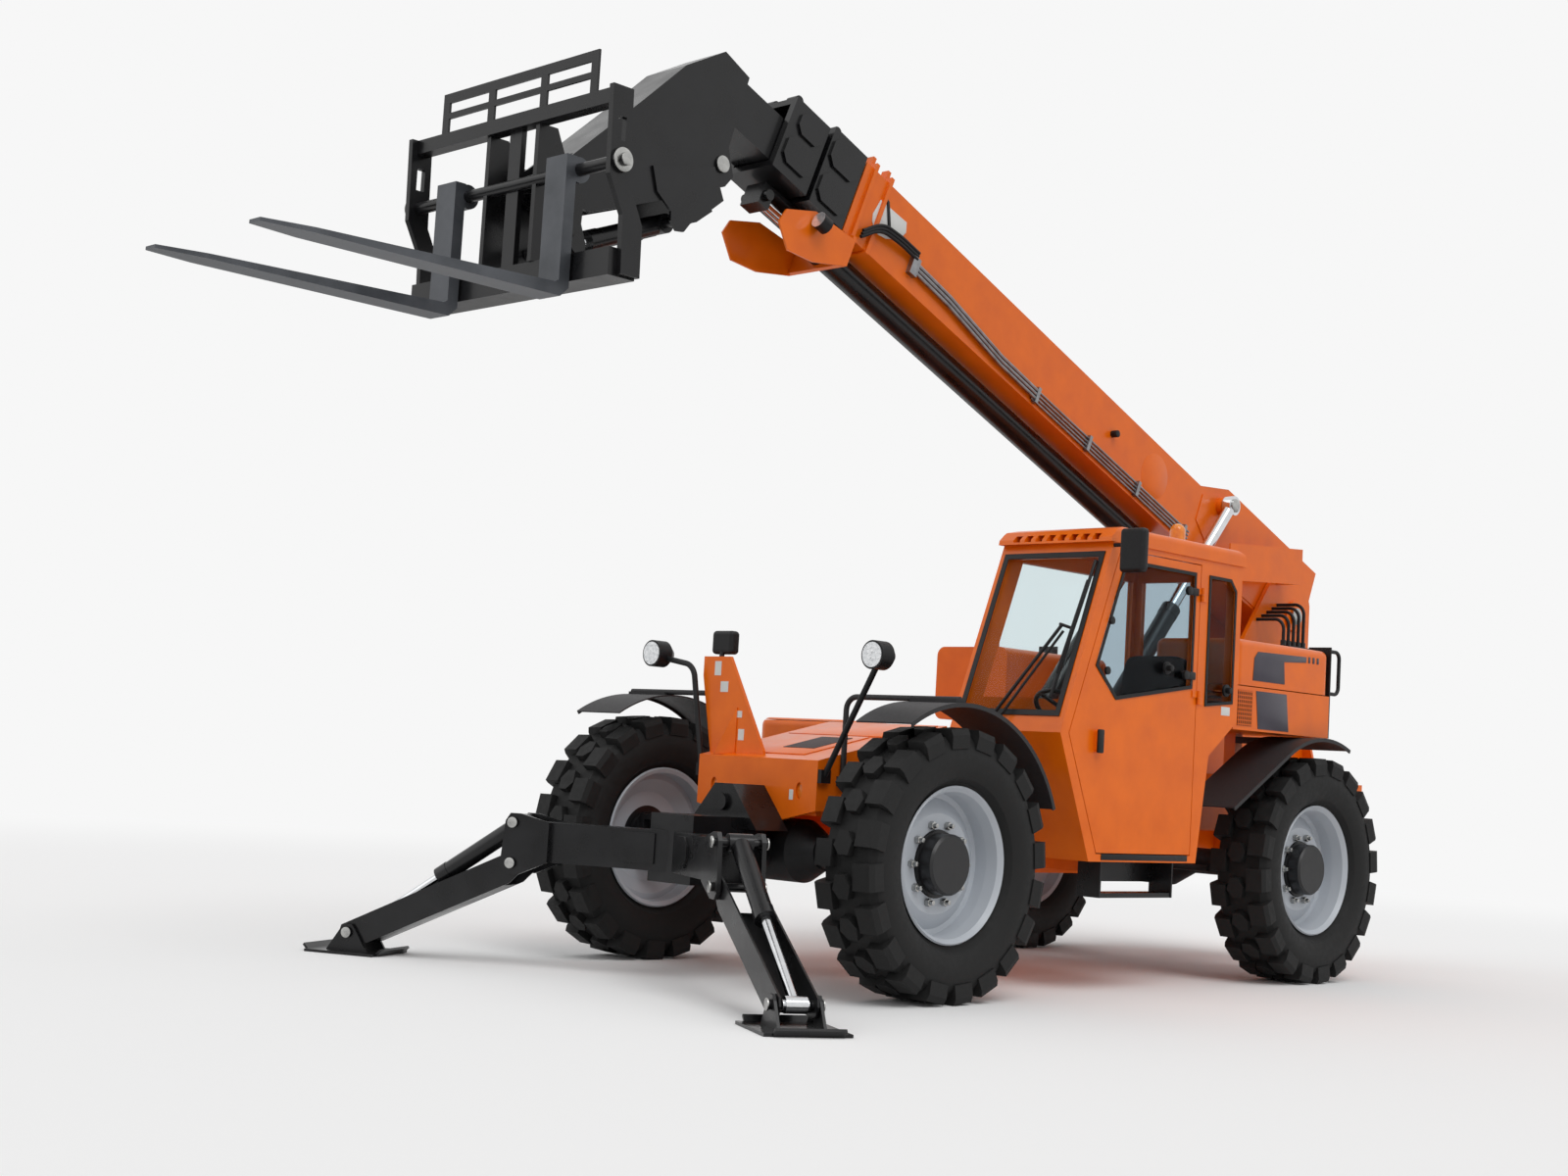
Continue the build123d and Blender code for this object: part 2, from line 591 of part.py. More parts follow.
def make_engine_hood():
    hood = lid(ENGINE_POD_REAR_X, ENGINE_POD_FRONT_X, ENGINE_POD_OUT, ENGINE_POD_IN,
               ENGINE_POD_SPLIT_Z + LID_GAP, ENGINE_POD_TOP_Z, POD_SHEET, 80)
    room = POD_SHEET + LID_GAP
    hood = hood - block(ENGINE_POD_REAR_X - 1, ENGINE_POD_FRONT_X + 1, ENGINE_POD_IN - room,
                        ENGINE_POD_IN + 1, ENGINE_POD_SPLIT_Z, ENGINE_POD_TOP_Z - 60 + LID_GAP)
    for i in range(8):
        x = ENGINE_POD_FRONT_X - 330 - i * 110
        slot = block(x - 70, x, ENGINE_POD_OUT - 1, ENGINE_POD_OUT + 40, 1190, 1330)
        hood = hood - slot
    return hood


def make_engine():
    block_a = block(-2260, -1130, -1060, -620, 860, 1350)
    feet = [block(x, x + 80, -1000, -680, ENGINE_POD_BOTTOM_Z + POD_SHEET, 860) for x in (-2160, -1310)]
    return fuse([block_a] + feet)


# Cab: hollow shell with its openings cut, roof, panes, door and what shows inside
CAB_OUTLINE = [(CAB_BROW_X, CAB_ROOF_Z), (CAB_BEND_X, CAB_BEND_Z), (CAB_TOE_X, CAB_FLOOR_Z),
               (-2150, CAB_FLOOR_Z), (-2240, CAB_TAIL_Z), (CAB_REAR_X, CAB_WAIST_Z),
               (CAB_REAR_X, CAB_ROOF_Z)]
DOOR = [(-1302, 2412), (-908, 1392), (-1196, 762), (-2085, 762), (-2085, 2412)]
DOOR_WINDOW = [(-1348, 2366), (-1112, 1766), (-1308, 1592), (-2038, 1702), (-2038, 2366)]
QUARTER = [(-2172, 1610), (-2172, 2366), (-2400, 2366), (-2462, 2300), (-2462, 1640)]
SIDE_WINDOW = [(-1360, 2366), (-1060, 1580), (-2440, 1640), (-2440, 2366)]
WIND_BOTTOM_Z = 1500.0
WIND_TOP_Z = 2366.0
WIND_MARGIN = 58.0
DOOR_GAP = 6.0
HINGE_X = -2097.0
HINGE_Y = 1213.0


def flat_face(points):
    return make_face(Polyline(*[(x, z) for x, z in points], close=True))


def from_face(face, y0, y1):
    solid = extrude(face, amount=abs(y1 - y0))
    return Pos(0, max(y0, y1), 0) * Rot(90, 0, 0) * solid


def wind_x(z):
    rise = (CAB_ROOF_Z - z) / (CAB_ROOF_Z - CAB_BEND_Z)
    return CAB_BROW_X + (CAB_BEND_X - CAB_BROW_X) * rise


def make_cab_shell():
    outer = from_face(flat_face(CAB_OUTLINE), CAB_IN, CAB_OUT)
    inner_face = offset(flat_face(CAB_OUTLINE), amount=-CAB_WALL)
    inner = from_face(inner_face, CAB_IN + CAB_WALL, CAB_OUT - CAB_WALL)
    shell = outer - inner
    shell = shell - block(-2478, -1300, CAB_IN + CAB_WALL, CAB_OUT - CAB_WALL, 2300, CAB_ROOF_Z + 1)
    opening = offset(flat_face(DOOR), amount=DOOR_GAP, kind=Kind.INTERSECTION)
    shell = shell - from_face(opening, CAB_OUT - CAB_WALL - 1, CAB_OUT + 1)
    shell = shell - block(-1500, -800, CAB_IN + WIND_MARGIN, CAB_OUT - WIND_MARGIN, WIND_BOTTOM_Z, WIND_TOP_Z)
    shell = shell - slab(QUARTER, CAB_OUT - CAB_WALL - 1, CAB_OUT + 1)
    shell = shell - slab(SIDE_WINDOW, CAB_IN - 1, CAB_IN + CAB_WALL + 1)
    shell = shell - block(CAB_REAR_X - 1, CAB_REAR_X + CAB_WALL + 1, CAB_IN + 80, CAB_OUT - 80, 1640, 2366)
    hinges = []
    for z in (1655, 2245):
        hinges.append(block(-2150, HINGE_X - 6, CAB_OUT, CAB_OUT + 7, z - 40, z - 2))
        hinges.append(rod((HINGE_X, HINGE_Y, z - 40), (HINGE_X, HINGE_Y, z - 2), 11))
    return fuse([shell] + hinges)


def make_cab_roof():
    side = [(-1190, CAB_ROOF_Z), (-1196, 2476), (-1250, 2526), (-1330, CAB_TOP_Z), (-2480, CAB_TOP_Z)]
    side += [(-2532, 2520), (-2540, CAB_ROOF_Z)]
    roof = slab(side, CAB_IN - 10, CAB_OUT + 12)
    long_edges = roof.edges().filter_by(Axis.X).sort_by(Axis.Z)[-2:]
    roof = fillet(long_edges, 40)
    for i in range(8):
        y = CAB_IN + 92 + i * 78
        slot = block(-1300, -1180, y, y + 46, 2462, 2500)
        roof = roof - slot
    return roof


def make_cab_glass():
    wind = []
    for z, back in ((WIND_BOTTOM_Z, 14), (WIND_TOP_Z, 14), (WIND_TOP_Z, 21), (WIND_BOTTOM_Z, 21)):
        wind.append((wind_x(z) - back, z))
    panes = [slab(wind, CAB_IN + WIND_MARGIN, CAB_OUT - WIND_MARGIN)]
    panes.append(slab(QUARTER, CAB_OUT - 23, CAB_OUT - 17))
    panes.append(slab(SIDE_WINDOW, CAB_IN + 17, CAB_IN + 23))
    panes.append(block(CAB_REAR_X + 17, CAB_REAR_X + 23, CAB_IN + 80, CAB_OUT - 80, 1640, 2366))
    return group(panes)


def make_door():
    door = slab(DOOR, CAB_OUT - CAB_WALL, CAB_OUT)
    door = door - slab(DOOR_WINDOW, CAB_OUT - CAB_WALL - 1, CAB_OUT + 1)
    parts = [door]
    for z in (1655, 2245):
        parts.append(block(HINGE_X + 6, -2040, CAB_OUT, CAB_OUT + 7, z, z + 38))
        parts.append(rod((HINGE_X, HINGE_Y, z), (HINGE_X, HINGE_Y, z + 38), 11))
    handle = block(-1170, -1130, CAB_OUT, CAB_OUT + 26, 1300, 1420)
    handle = fillet(handle.edges().filter_by(Axis.Y), 15)
    parts.append(handle)
    return fuse(parts)


def make_door_glass():
    return slab(DOOR_WINDOW, CAB_OUT - 23, CAB_OUT - 17)


def make_interior():
    dash = [(-1165, 790), (-1245, 790), (-1190, 1180), (-1240, 1370), (-1120, 1425), (-930, 1400)]
    dash += [(-985, 1190)]
    parts = [slab(dash, 500, 1140)]
    parts.append(block(-1250, -1175, 500, 1140, CAB_FLOOR_Z + CAB_WALL, 800))
    parts.append(rod((-1190, 820, 1260), (-1372, 820, 1505), 34))
    seat_base = block(-2085, -1700, 640, 1050, CAB_FLOOR_Z + CAB_WALL, 1180)
    seat_base = fillet(seat_base.edges().filter_by(Axis.Z), 40)
    console = [(-1560, 1080), (-1560, 1240), (-1640, 1330), (-2000, 1330), (-2090, 1250), (-2090, 755)]
    console += [(-1640, 755)]
    side = slab(console, 488, 600)
    stick = rod((-1660, 545, 1310), (-1640, 545, 1450), 12)
    knob = Pos(-1636, 545, 1475) * Sphere(26)
    return group([fuse(parts), seat_base, fuse([side, stick, knob])])


def make_seat():
    cushion = block(-2110, -1620, 615, 1075, 1180, 1290)
    cushion = fillet(cushion.edges(), 40)
    back = block(-2190, -2080, 635, 1055, 1290, 1900)
    back = fillet(back.edges(), 40)
    back = Pos(-2135, 0, 1290) * Rot(0, -8, 0) * Pos(2135, 0, -1290) * back
    return fuse([cushion, back])


def make_steering_wheel():
    rim = Torus(185, 14)
    hub = Cylinder(38, 34)
    spokes = [Rot(0, 0, a) * Pos(92, 0, 0) * Box(184, 26, 12) for a in (90, 210, 330)]
    wheel = fuse([rim, hub] + spokes)
    return Pos(-1384, 820, 1521) * Rot(0, -36.6, 0) * wheel


def make_step():
    parts = []
    for x in (-1262, -1938):
        parts.append(block(x - 6, x + 6, 1040, 1190, 520, CAB_FLOOR_Z))
    parts.append(block(-1938, -1262, 1060, 1185, 520, 546))
    parts.append(block(-1938, -1262, 1040, 1052, 600, CAB_FLOOR_Z))
    return fuse(parts)


# Lamps, mirrors, guards and their lenses
LAMP_X = 240.0
LAMP_Y = 830.0
LAMP_Z = 1712.0
LAMP_RADIUS = 74.0


def head_lamp(side):
    y = side * LAMP_Y
    shell = rod((LAMP_X - 60, y, LAMP_Z), (LAMP_X + 30, y, LAMP_Z), LAMP_RADIUS)
    back = Pos(LAMP_X - 85, y, LAMP_Z) * Rot(0, -90, 0) * Cone(LAMP_RADIUS, 34, 50)
    shell = fuse([shell, back])
    return shell - rod((LAMP_X + 20, y, LAMP_Z), (LAMP_X + 31, y, LAMP_Z), LAMP_RADIUS - 10)


def make_lamp_housings():
    foot_z = 1090
    left = rod((LAMP_X - 40, LAMP_Y - 20, LAMP_Z - 40), (LAMP_X - 60, NOSE_HALF + 18, foot_z), 16)
    left_foot = block(LAMP_X - 100, LAMP_X - 28, NOSE_HALF, NOSE_HALF + 26, foot_z - 40, foot_z + 30)
    right_run = [(LAMP_X - 40, -LAMP_Y + 20, LAMP_Z - 20), (LAMP_X - 46, -560, LAMP_Z - 60)]
    right_run += [(LAMP_X - 60, -NOSE_HALF - 18, foot_z)]
    right = tube_run(right_run, 16, 90)
    right_foot = block(LAMP_X - 100, LAMP_X - 28, -NOSE_HALF - 26, -NOSE_HALF, foot_z - 40, foot_z + 30)
    solids = [fuse([head_lamp(1), left, left_foot]), fuse([head_lamp(-1), right, right_foot])]
    # Cab mirror on its arm, and the mirror on the post
    mirror_a = block(-1232, -1172, 1275, 1435, 2275, 2515)
    mirror_a = fillet(mirror_a.edges(), 22)
    arm = rod((-1236, CAB_OUT, 2432), (-1236, 1330, 2432), 11)
    solids.append(fuse([mirror_a, arm]))
    mirror_b = block(60, 130, -500, -340, 1720, 1850)
    mirror_b = fillet(mirror_b.edges(), 22)
    peg = rod((120, -420, 1705), (110, -420, 1760), 14)
    solids.append(fuse([mirror_b, peg]))
    # Tail lamp plates with their hoops
    for s in (-1, 1):
        x1 = POD_REAR_X - 6
        x0 = x1 - 12
        plate = block(x0, x1, s * 990, s * 1146, POD_BOTTOM_Z, 2070)
        spacer = block(x1, POD_REAR_X, s * 1000, s * 1140, POD_BOTTOM_Z + 10, 1740)
        hoop_run = [(x0 + 4, s * 1130, 2045), (x0 - 120, s * 1130, 2045), (x0 - 120, s * 1130, 1780)]
        hoop_run += [(x0 + 4, s * 1130, 1780)]
        hoop = tube_run(hoop_run, 12, 45)
        cups = []
        for z in (1850, 1975):
            cups.append(rod((x0 - 44, s * 1055, z), (x0, s * 1055, z), 56))
        solids.append(fuse([plate, spacer, hoop] + cups))
    base = rod((-2200, 950, CAB_TOP_Z), (-2200, 950, CAB_TOP_Z + 26), 56)
    solids.append(base)
    return group(solids)


def make_lamp_lenses():
    solids = []
    for s in (-1, 1):
        y = s * LAMP_Y
        solids.append(rod((LAMP_X + 20, y, LAMP_Z), (LAMP_X + 34, y, LAMP_Z), LAMP_RADIUS - 10))
        for z in (1850, 1975):
            x0 = POD_REAR_X - 18 - 44
            solids.append(rod((x0 - 8, s * 1055, z), (x0, s * 1055, z), 48))
    return group(solids)


def make_beacon():
    z = CAB_TOP_Z + 26
    dome = rod((-2200, 950, z), (-2200, 950, z + 62), 46)
    return fuse([dome, Pos(-2200, 950, z + 62) * Sphere(46)])


# Boom sections in their own axes: u forward, w up, from the pivot
def box_tube(u0, u1, half, w0, w1, t):
    return block(u0, u1, -half, half, w0, w1) - block(u0 - 1, u1 + 1, t - half, half - t, w0 + t, w1 - t)


def collar(u0, u1, half_in, w0_in, w1_in, half, w0, w1):
    ring = block(u0, u1, -half, half, w0, w1)
    return ring - block(u0 - 1, u1 + 1, -half_in, half_in, w0_in, w1_in)


def hex_pad(u0, u1, w0, w1, y0, y1, cut):
    outline = [(u0 + cut, w0), (u1 - cut, w0), (u1, w0 + cut), (u1, w1 - cut), (u1 - cut, w1)]
    outline += [(u0 + cut, w1), (u0, w1 - cut), (u0, w0 + cut)]
    return slab(outline, y0, y1)


S2_HALF = BOOM_HALF - BOOM_WALL - STAGE_GAP
S2_BOTTOM = BOOM_BOTTOM + BOOM_WALL + STAGE_GAP
S2_TOP = BOOM_TOP - BOOM_WALL - STAGE_GAP
S3_HALF = S2_HALF - STAGE_WALL - STAGE_GAP
S3_BOTTOM = S2_BOTTOM + STAGE_WALL + STAGE_GAP
S3_TOP = S2_TOP - STAGE_WALL - STAGE_GAP
S4_HALF = S3_HALF - STAGE_WALL - STAGE_GAP
S4_BOTTOM = S3_BOTTOM + STAGE_WALL + STAGE_GAP
S4_TOP = 150.0
S2_REAR_U = 150.0
S3_REAR_U = 260.0
S4_REAR_U = 370.0
C2_REAR_U = BOOM_FRONT_U + COLLAR_GAP
C2_FRONT_U = C2_REAR_U + 280
C3_REAR_U = C2_FRONT_U + COLLAR_GAP
C3_FRONT_U = C3_REAR_U + 280
PAD_THICK = 14.0


def make_boom_outer():
    body = block(BOOM_REAR_U, BOOM_FRONT_U, -BOOM_HALF, BOOM_HALF, BOOM_BOTTOM, BOOM_TOP)
    inside = BOOM_HALF - BOOM_WALL
    body = body - block(100, BOOM_FRONT_U + 1, -inside, inside, BOOM_BOTTOM + BOOM_WALL, BOOM_TOP - BOOM_WALL)
    shoulder = [(BOOM_REAR_U, BOOM_TOP), (BOOM_REAR_U, SHOULDER_TOP), (SHOULDER_END_U, SHOULDER_TOP - 12)]
    shoulder += [(SHOULDER_TOE_U, BOOM_TOP)]
    parts = [body, slab(shoulder, -BOOM_HALF, BOOM_HALF)]
    for s in (-1, 1):
        parts.append(bar_y(LIFT_PIN_U, LIFT_PIN_W, s * BOOM_HALF, s * 230, 58))
        cheek = [(-180, -140), (-180, 400), (1000, 400), (1290, 250), (1290, 60), (900, -140)]
        parts.append(slab(cheek, s * BOOM_HALF, s * (BOOM_HALF + 6)))
    for u in (BOOM_FRONT_U - 215, BOOM_FRONT_U - 80):
        parts.append(collar(u, u + 25, inside, BOOM_BOTTOM + BOOM_WALL, BOOM_TOP - BOOM_WALL,
                            BOOM_HALF + 18, BOOM_BOTTOM - 16, BOOM_TOP + 30))
        for s in (-1, 1):
            parts.append(block(u, u + 25, s * 100, s * 150, BOOM_TOP + 20, BOOM_TOP + 85))
    # Bracket plates that carry the front of the extend cylinder
    u0 = BOOM_FRONT_U - 80
    yoke = block(u0, u0 + 25, -218, 218, -345, BOOM_BOTTOM)
    yoke = yoke - rod((u0 - 1, 0, EXTEND_W), (u0 + 26, 0, EXTEND_W), EXTEND_RADIUS + 0.05)
    parts.append(yoke)
    ear = [(u0, BOOM_BOTTOM - 20), (u0 + 330, -215), (u0 + 520, -330), (u0 + 540, -420)]
    ear += [(u0 + 420, -520), (u0 + 230, -470), (u0, -345)]
    for s in (-1, 1):
        parts.append(slab(ear, s * 206, s * 218))
    parts.append(block(EXTEND_REAR_U + 20, EXTEND_REAR_U + 70, -40, 40, EXTEND_W + EXTEND_RADIUS - 2, BOOM_BOTTOM))
    outer = fuse(parts)
    outer = outer - bar_y(0, 0, -BOOM_HALF - 20, BOOM_HALF + 20, PIVOT_PIN_RADIUS + PIN_GAP)
    barrel = rod((EXTEND_REAR_U, 0, EXTEND_W), (BOOM_FRONT_U + 30, 0, EXTEND_W), EXTEND_RADIUS)
    return on_boom(outer - barrel)


def make_extend_barrel():
    u1 = BOOM_FRONT_U + 30
    barrel = rod((EXTEND_REAR_U, 0, EXTEND_W), (u1, 0, EXTEND_W), EXTEND_RADIUS)
    bore = rod((EXTEND_REAR_U + 50, 0, EXTEND_W), (u1 - 50, 0, EXTEND_W), EXTEND_RADIUS - 14)
    neck = rod((u1 - 51, 0, EXTEND_W), (u1 + 1, 0, EXTEND_W), EXTEND_ROD_RADIUS + 1)
    return on_boom(barrel - bore - neck)


EXTEND_LUG_U = C3_REAR_U + 120


def make_extend_rod():
    shaft = rod((EXTEND_REAR_U + 120, 0, EXTEND_W), (EXTEND_LUG_U, 0, EXTEND_W), EXTEND_ROD_RADIUS)
    piston = rod((EXTEND_REAR_U + 120, 0, EXTEND_W), (EXTEND_REAR_U + 190, 0, EXTEND_W), EXTEND_RADIUS - 20)
    return on_boom(fuse([shaft, piston]))


def make_boom_lines():
    # Steel lines in clamps along the lower left side, and the work lamp at the front
    parts = []
    y0 = BOOM_HALF
    for i in range(4):
        w = BOOM_BOTTOM + 28 + i * 24
        parts.append(rod((1340, y0 + 11, w), (3150 + i * 40, y0 + 11, w), 7))
    w_top = BOOM_BOTTOM + 28 + 3 * 24
    for u in (1390, 1960, 2530, 3100):
        parts.append(block(u, u + 26, y0, y0 + 32, BOOM_BOTTOM + 14, w_top + 16))
    for i in range(3):
        w = BOOM_BOTTOM + 40 + i * 26
        run = [(3110, y0 + 20, w), (3500, y0 + 22, w + 4), (4050, y0 + 22, w + 60), (4400, y0 + 22, w + 70)]
        parts.append(tube_run(run, 11, 160))
    parts.append(block(4360, 4420, y0, y0 + 34, BOOM_BOTTOM + 80, BOOM_BOTTOM + 190))
    lines = fuse(parts)
    lamp = rod((BOOM_FRONT_U + 190, 272, -282), (BOOM_FRONT_U + 260, 272, -282), 46)
    stem = block(BOOM_FRONT_U + 205, BOOM_FRONT_U + 235, 218, 272, -300, -262)
    lamp = fuse([lamp, stem])
    return on_boom(group([lines, lamp]))


def make_stage2():
    tube = box_tube(S2_REAR_U, C2_FRONT_U, S2_HALF, S2_BOTTOM, S2_TOP, STAGE_WALL)
    ring = collar(C2_REAR_U, C2_FRONT_U, S2_HALF - 1, S2_BOTTOM + 1, S2_TOP - 1,
                  BOOM_HALF + 12, BOOM_BOTTOM - 12, BOOM_TOP + 14)
    parts = [tube, ring]
    for s in (-1, 1):
        y0 = s * (BOOM_HALF + 12)
        y1 = s * (BOOM_HALF + 12 + PAD_THICK)
        parts.append(hex_pad(C2_REAR_U + 25, C2_FRONT_U - 20, -130, 50, y0, y1, 45))
        parts.append(hex_pad(C2_REAR_U + 25, C2_FRONT_U - 20, 90, 270, y0, y1, 45))
        parts.append(bar_y(C2_FRONT_U - 70, BOOM_TOP + 40, s * 60, s * 130, 34))
        parts.append(block(C2_FRONT_U - 100, C2_FRONT_U - 40, s * 70, s * 120, BOOM_TOP + 10, BOOM_TOP + 40))
    u1 = EXTEND_LUG_U + 80
    lug = [(C2_REAR_U + 70, BOOM_BOTTOM - 12), (u1, BOOM_BOTTOM - 26), (u1, -312), (EXTEND_LUG_U, -312)]
    lug += [(EXTEND_LUG_U, EXTEND_W + 44), (C2_REAR_U + 70, EXTEND_W + 44)]
    parts.append(slab(lug, -70, 70))
    parts.append(block(C2_REAR_U + 70, C2_FRONT_U - 10, -70, 70, EXTEND_W + 44, BOOM_BOTTOM))
    parts.append(bar_y(EXTEND_LUG_U + 42, EXTEND_W, -96, 96, 30))
    return on_boom(fuse(parts))


def make_stage3():
    tube = box_tube(S3_REAR_U, C3_FRONT_U, S3_HALF, S3_BOTTOM, S3_TOP, STAGE_WALL)
    ring = collar(C3_REAR_U, C3_FRONT_U, S3_HALF - 1, S3_BOTTOM + 1, S3_TOP - 1,
                  BOOM_HALF - 4, BOOM_BOTTOM + 6, BOOM_TOP - 6)
    parts = [tube, ring]
    for s in (-1, 1):
        y0 = s * (BOOM_HALF - 4)
        y1 = s * (BOOM_HALF - 4 + PAD_THICK)
        parts.append(hex_pad(C3_REAR_U + 30, C3_FRONT_U - 30, -90, 80, y0, y1, 40))
        parts.append(hex_pad(C3_REAR_U + 30, C3_FRONT_U - 60, 110, 250, y0, y1, 40))
        parts.append(bar_y(C3_FRONT_U - 60, BOOM_TOP + 22, s * 50, s * 120, 32))
        parts.append(block(C3_FRONT_U - 90, C3_FRONT_U - 30, s * 60, s * 110, BOOM_TOP - 8, BOOM_TOP + 22))
    return on_boom(fuse(parts))


HEAD = [(5870, 172), (6068, 190), (6261, -44), (6426, -393), (6690, -930), (6738, -1005), (6705, -1085)]
HEAD += [(6610, -1112), (6457, -1078), (6091, -750), (5940, -600), (5765, -440), (5738, -362)]
HEAD += [(5832, -243)]
HEAD_COVER = [(5870, 172), (6068, 190), (6261, -44), (6426, -393), (6660, -869), (6645, -862)]
HEAD_COVER += [(6411, -386), (6247, -40), (6062, 172), (5870, 156)]
HEAD_PIN_U = 5836.0
HEAD_PIN_W = -352.0


def make_boom_head():
    tube = box_tube(S4_REAR_U, 6010, S4_HALF, S4_BOTTOM, S4_TOP, STAGE_WALL)
    parts = [tube]
    inside = HEAD_HALF - 16
    for s in (-1, 1):
        parts.append(slab(HEAD, s * inside, s * HEAD_HALF))
        bracket = [(6230, -640), (5880, -400), (5750, -520), (5800, -610), (5893, -762)]
        bracket += [(5910, -820), (5957, -845), (6010, -820), (6030, -775), (6150, -740)]
        parts.append(slab(bracket, s * HEAD_HALF, s * (HEAD_HALF + 14)))
    parts.append(slab(HEAD_COVER, -inside, inside))
    parts.append(block(5975, 5990, -inside, inside, -560, 120))
    parts.append(bar_y(HEAD_PIN_U, HEAD_PIN_W, -HEAD_HALF - 8, HEAD_HALF + 8, 42))
    foot = [(5800, -610), (5868, -722), (5860, -727), (5792, -615)]
    parts.append(slab(foot, -HEAD_HALF - 14, HEAD_HALF + 14))
    for s in (-1, 1):
        parts.append(block(5985, 6040, s * S4_HALF, s * inside, -300, 100))
    head = on_boom(fuse(parts))
    tilt_pin = bar_y(TILT_X, TILT_Z, BOOM_Y - HEAD_HALF - 44, BOOM_Y + HEAD_HALF + 44, 35)
    base_pin = bar_y(TILT_BASE_X, TILT_BASE_Z, BOOM_Y - HEAD_HALF, BOOM_Y + HEAD_HALF, 26)
    return fuse([head, tilt_pin, base_pin])


# Cylinders: a barrel with an eye at its foot, and a rod with an eye at its end
EYE_GAP = 6.0


def cylinder_barrel(length, radius, bore, neck, eye_radius, eye_half, pin_radius, foot):
    # Along +X from the foot pin at the origin, hollow for the piston and the rod.
    tube = rod((foot, 0, 0), (length, 0, 0), radius)
    stem = rod((eye_radius - 20, 0, 0), (foot + 1, 0, 0), min(eye_half, radius) - 2)
    head = rod((length - 70, 0, 0), (length, 0, 0), radius + 3)
    eye = bar_y(0, 0, -eye_half, eye_half, eye_radius)
    whole = fuse([tube, stem, head, eye])
    whole = whole - rod((foot + 24, 0, 0), (length - 50, 0, 0), bore)
    whole = whole - rod((length - 51, 0, 0), (length + 1, 0, 0), neck)
    return whole - bar_y(0, 0, -eye_half - 1, eye_half + 1, pin_radius + PIN_GAP)


def cylinder_rod(at, length, radius, piston, eye_radius, eye_half, pin_radius, pin_half):
    # The rod's eye is at x = at, and the rod runs back from it for the given length.
    shaft = rod((at - length, 0, 0), (at, 0, 0), radius)
    end = rod((at - length, 0, 0), (at - length + 24, 0, 0), piston)
    eye = bar_y(at, 0, -eye_half, eye_half, eye_radius)
    pin = bar_y(at, 0, -pin_half, pin_half, pin_radius)
    return fuse([shaft, end, eye, pin])


def aim(shape, start, end, y):
    # Turns +X from the start point to the end point, both given as (x, z).
    turn = math.degrees(math.atan2(end[1] - start[1], end[0] - start[0]))
    return Pos(start[0], y, start[1]) * Rot(0, -turn, 0) * shape


LIFT_BASE = (LIFT_BASE_X, LIFT_BASE_Z)
LIFT_TOP = boom_point(LIFT_PIN_U, LIFT_PIN_W)
LIFT_LENGTH = math.dist(LIFT_BASE, LIFT_TOP)
LIFT_ROD_LENGTH = 2000.0
TILT_BASE = (TILT_BASE_X, TILT_BASE_Z)
TILT_END = (ROD_EYE_X, ROD_EYE_Z)
TILT_LENGTH = math.dist(TILT_BASE, TILT_END)
TILT_BARREL_LENGTH = 500.0
TILT_ROD_LENGTH = 482.0


def make_lift_barrels():
    one = cylinder_barrel(LIFT_BARREL_LENGTH, LIFT_RADIUS, LIFT_RADIUS - 12, LIFT_ROD_RADIUS + 1, 62, 36, 32, 98)
    return group([aim(one, LIFT_BASE, LIFT_TOP, BOOM_Y + s * LIFT_OFFSET) for s in (-1, 1)])


def make_lift_rods():
    one = cylinder_rod(LIFT_LENGTH, LIFT_ROD_LENGTH, LIFT_ROD_RADIUS, LIFT_RADIUS - 13, 64, 30, 32, 32)
    return group([aim(one, LIFT_BASE, LIFT_TOP, BOOM_Y + s * LIFT_OFFSET) for s in (-1, 1)])


def make_tilt_barrel():
    one = cylinder_barrel(TILT_BARREL_LENGTH, TILT_RADIUS, TILT_RADIUS - 10, TILT_ROD_RADIUS + 1, 50, 60, 26, 40)
    return aim(one, TILT_BASE, TILT_END, BOOM_Y)


def make_tilt_rod():
    one = cylinder_rod(TILT_LENGTH, TILT_ROD_LENGTH, TILT_ROD_RADIUS, TILT_RADIUS - 11, 46, 60, 26, 164)
    return aim(one, TILT_BASE, TILT_END, BOOM_Y)


# Carriage with its guard and shaft, and the forks hung on the shaft
EAR_IN = 172.0
EAR_OUT = 200.0


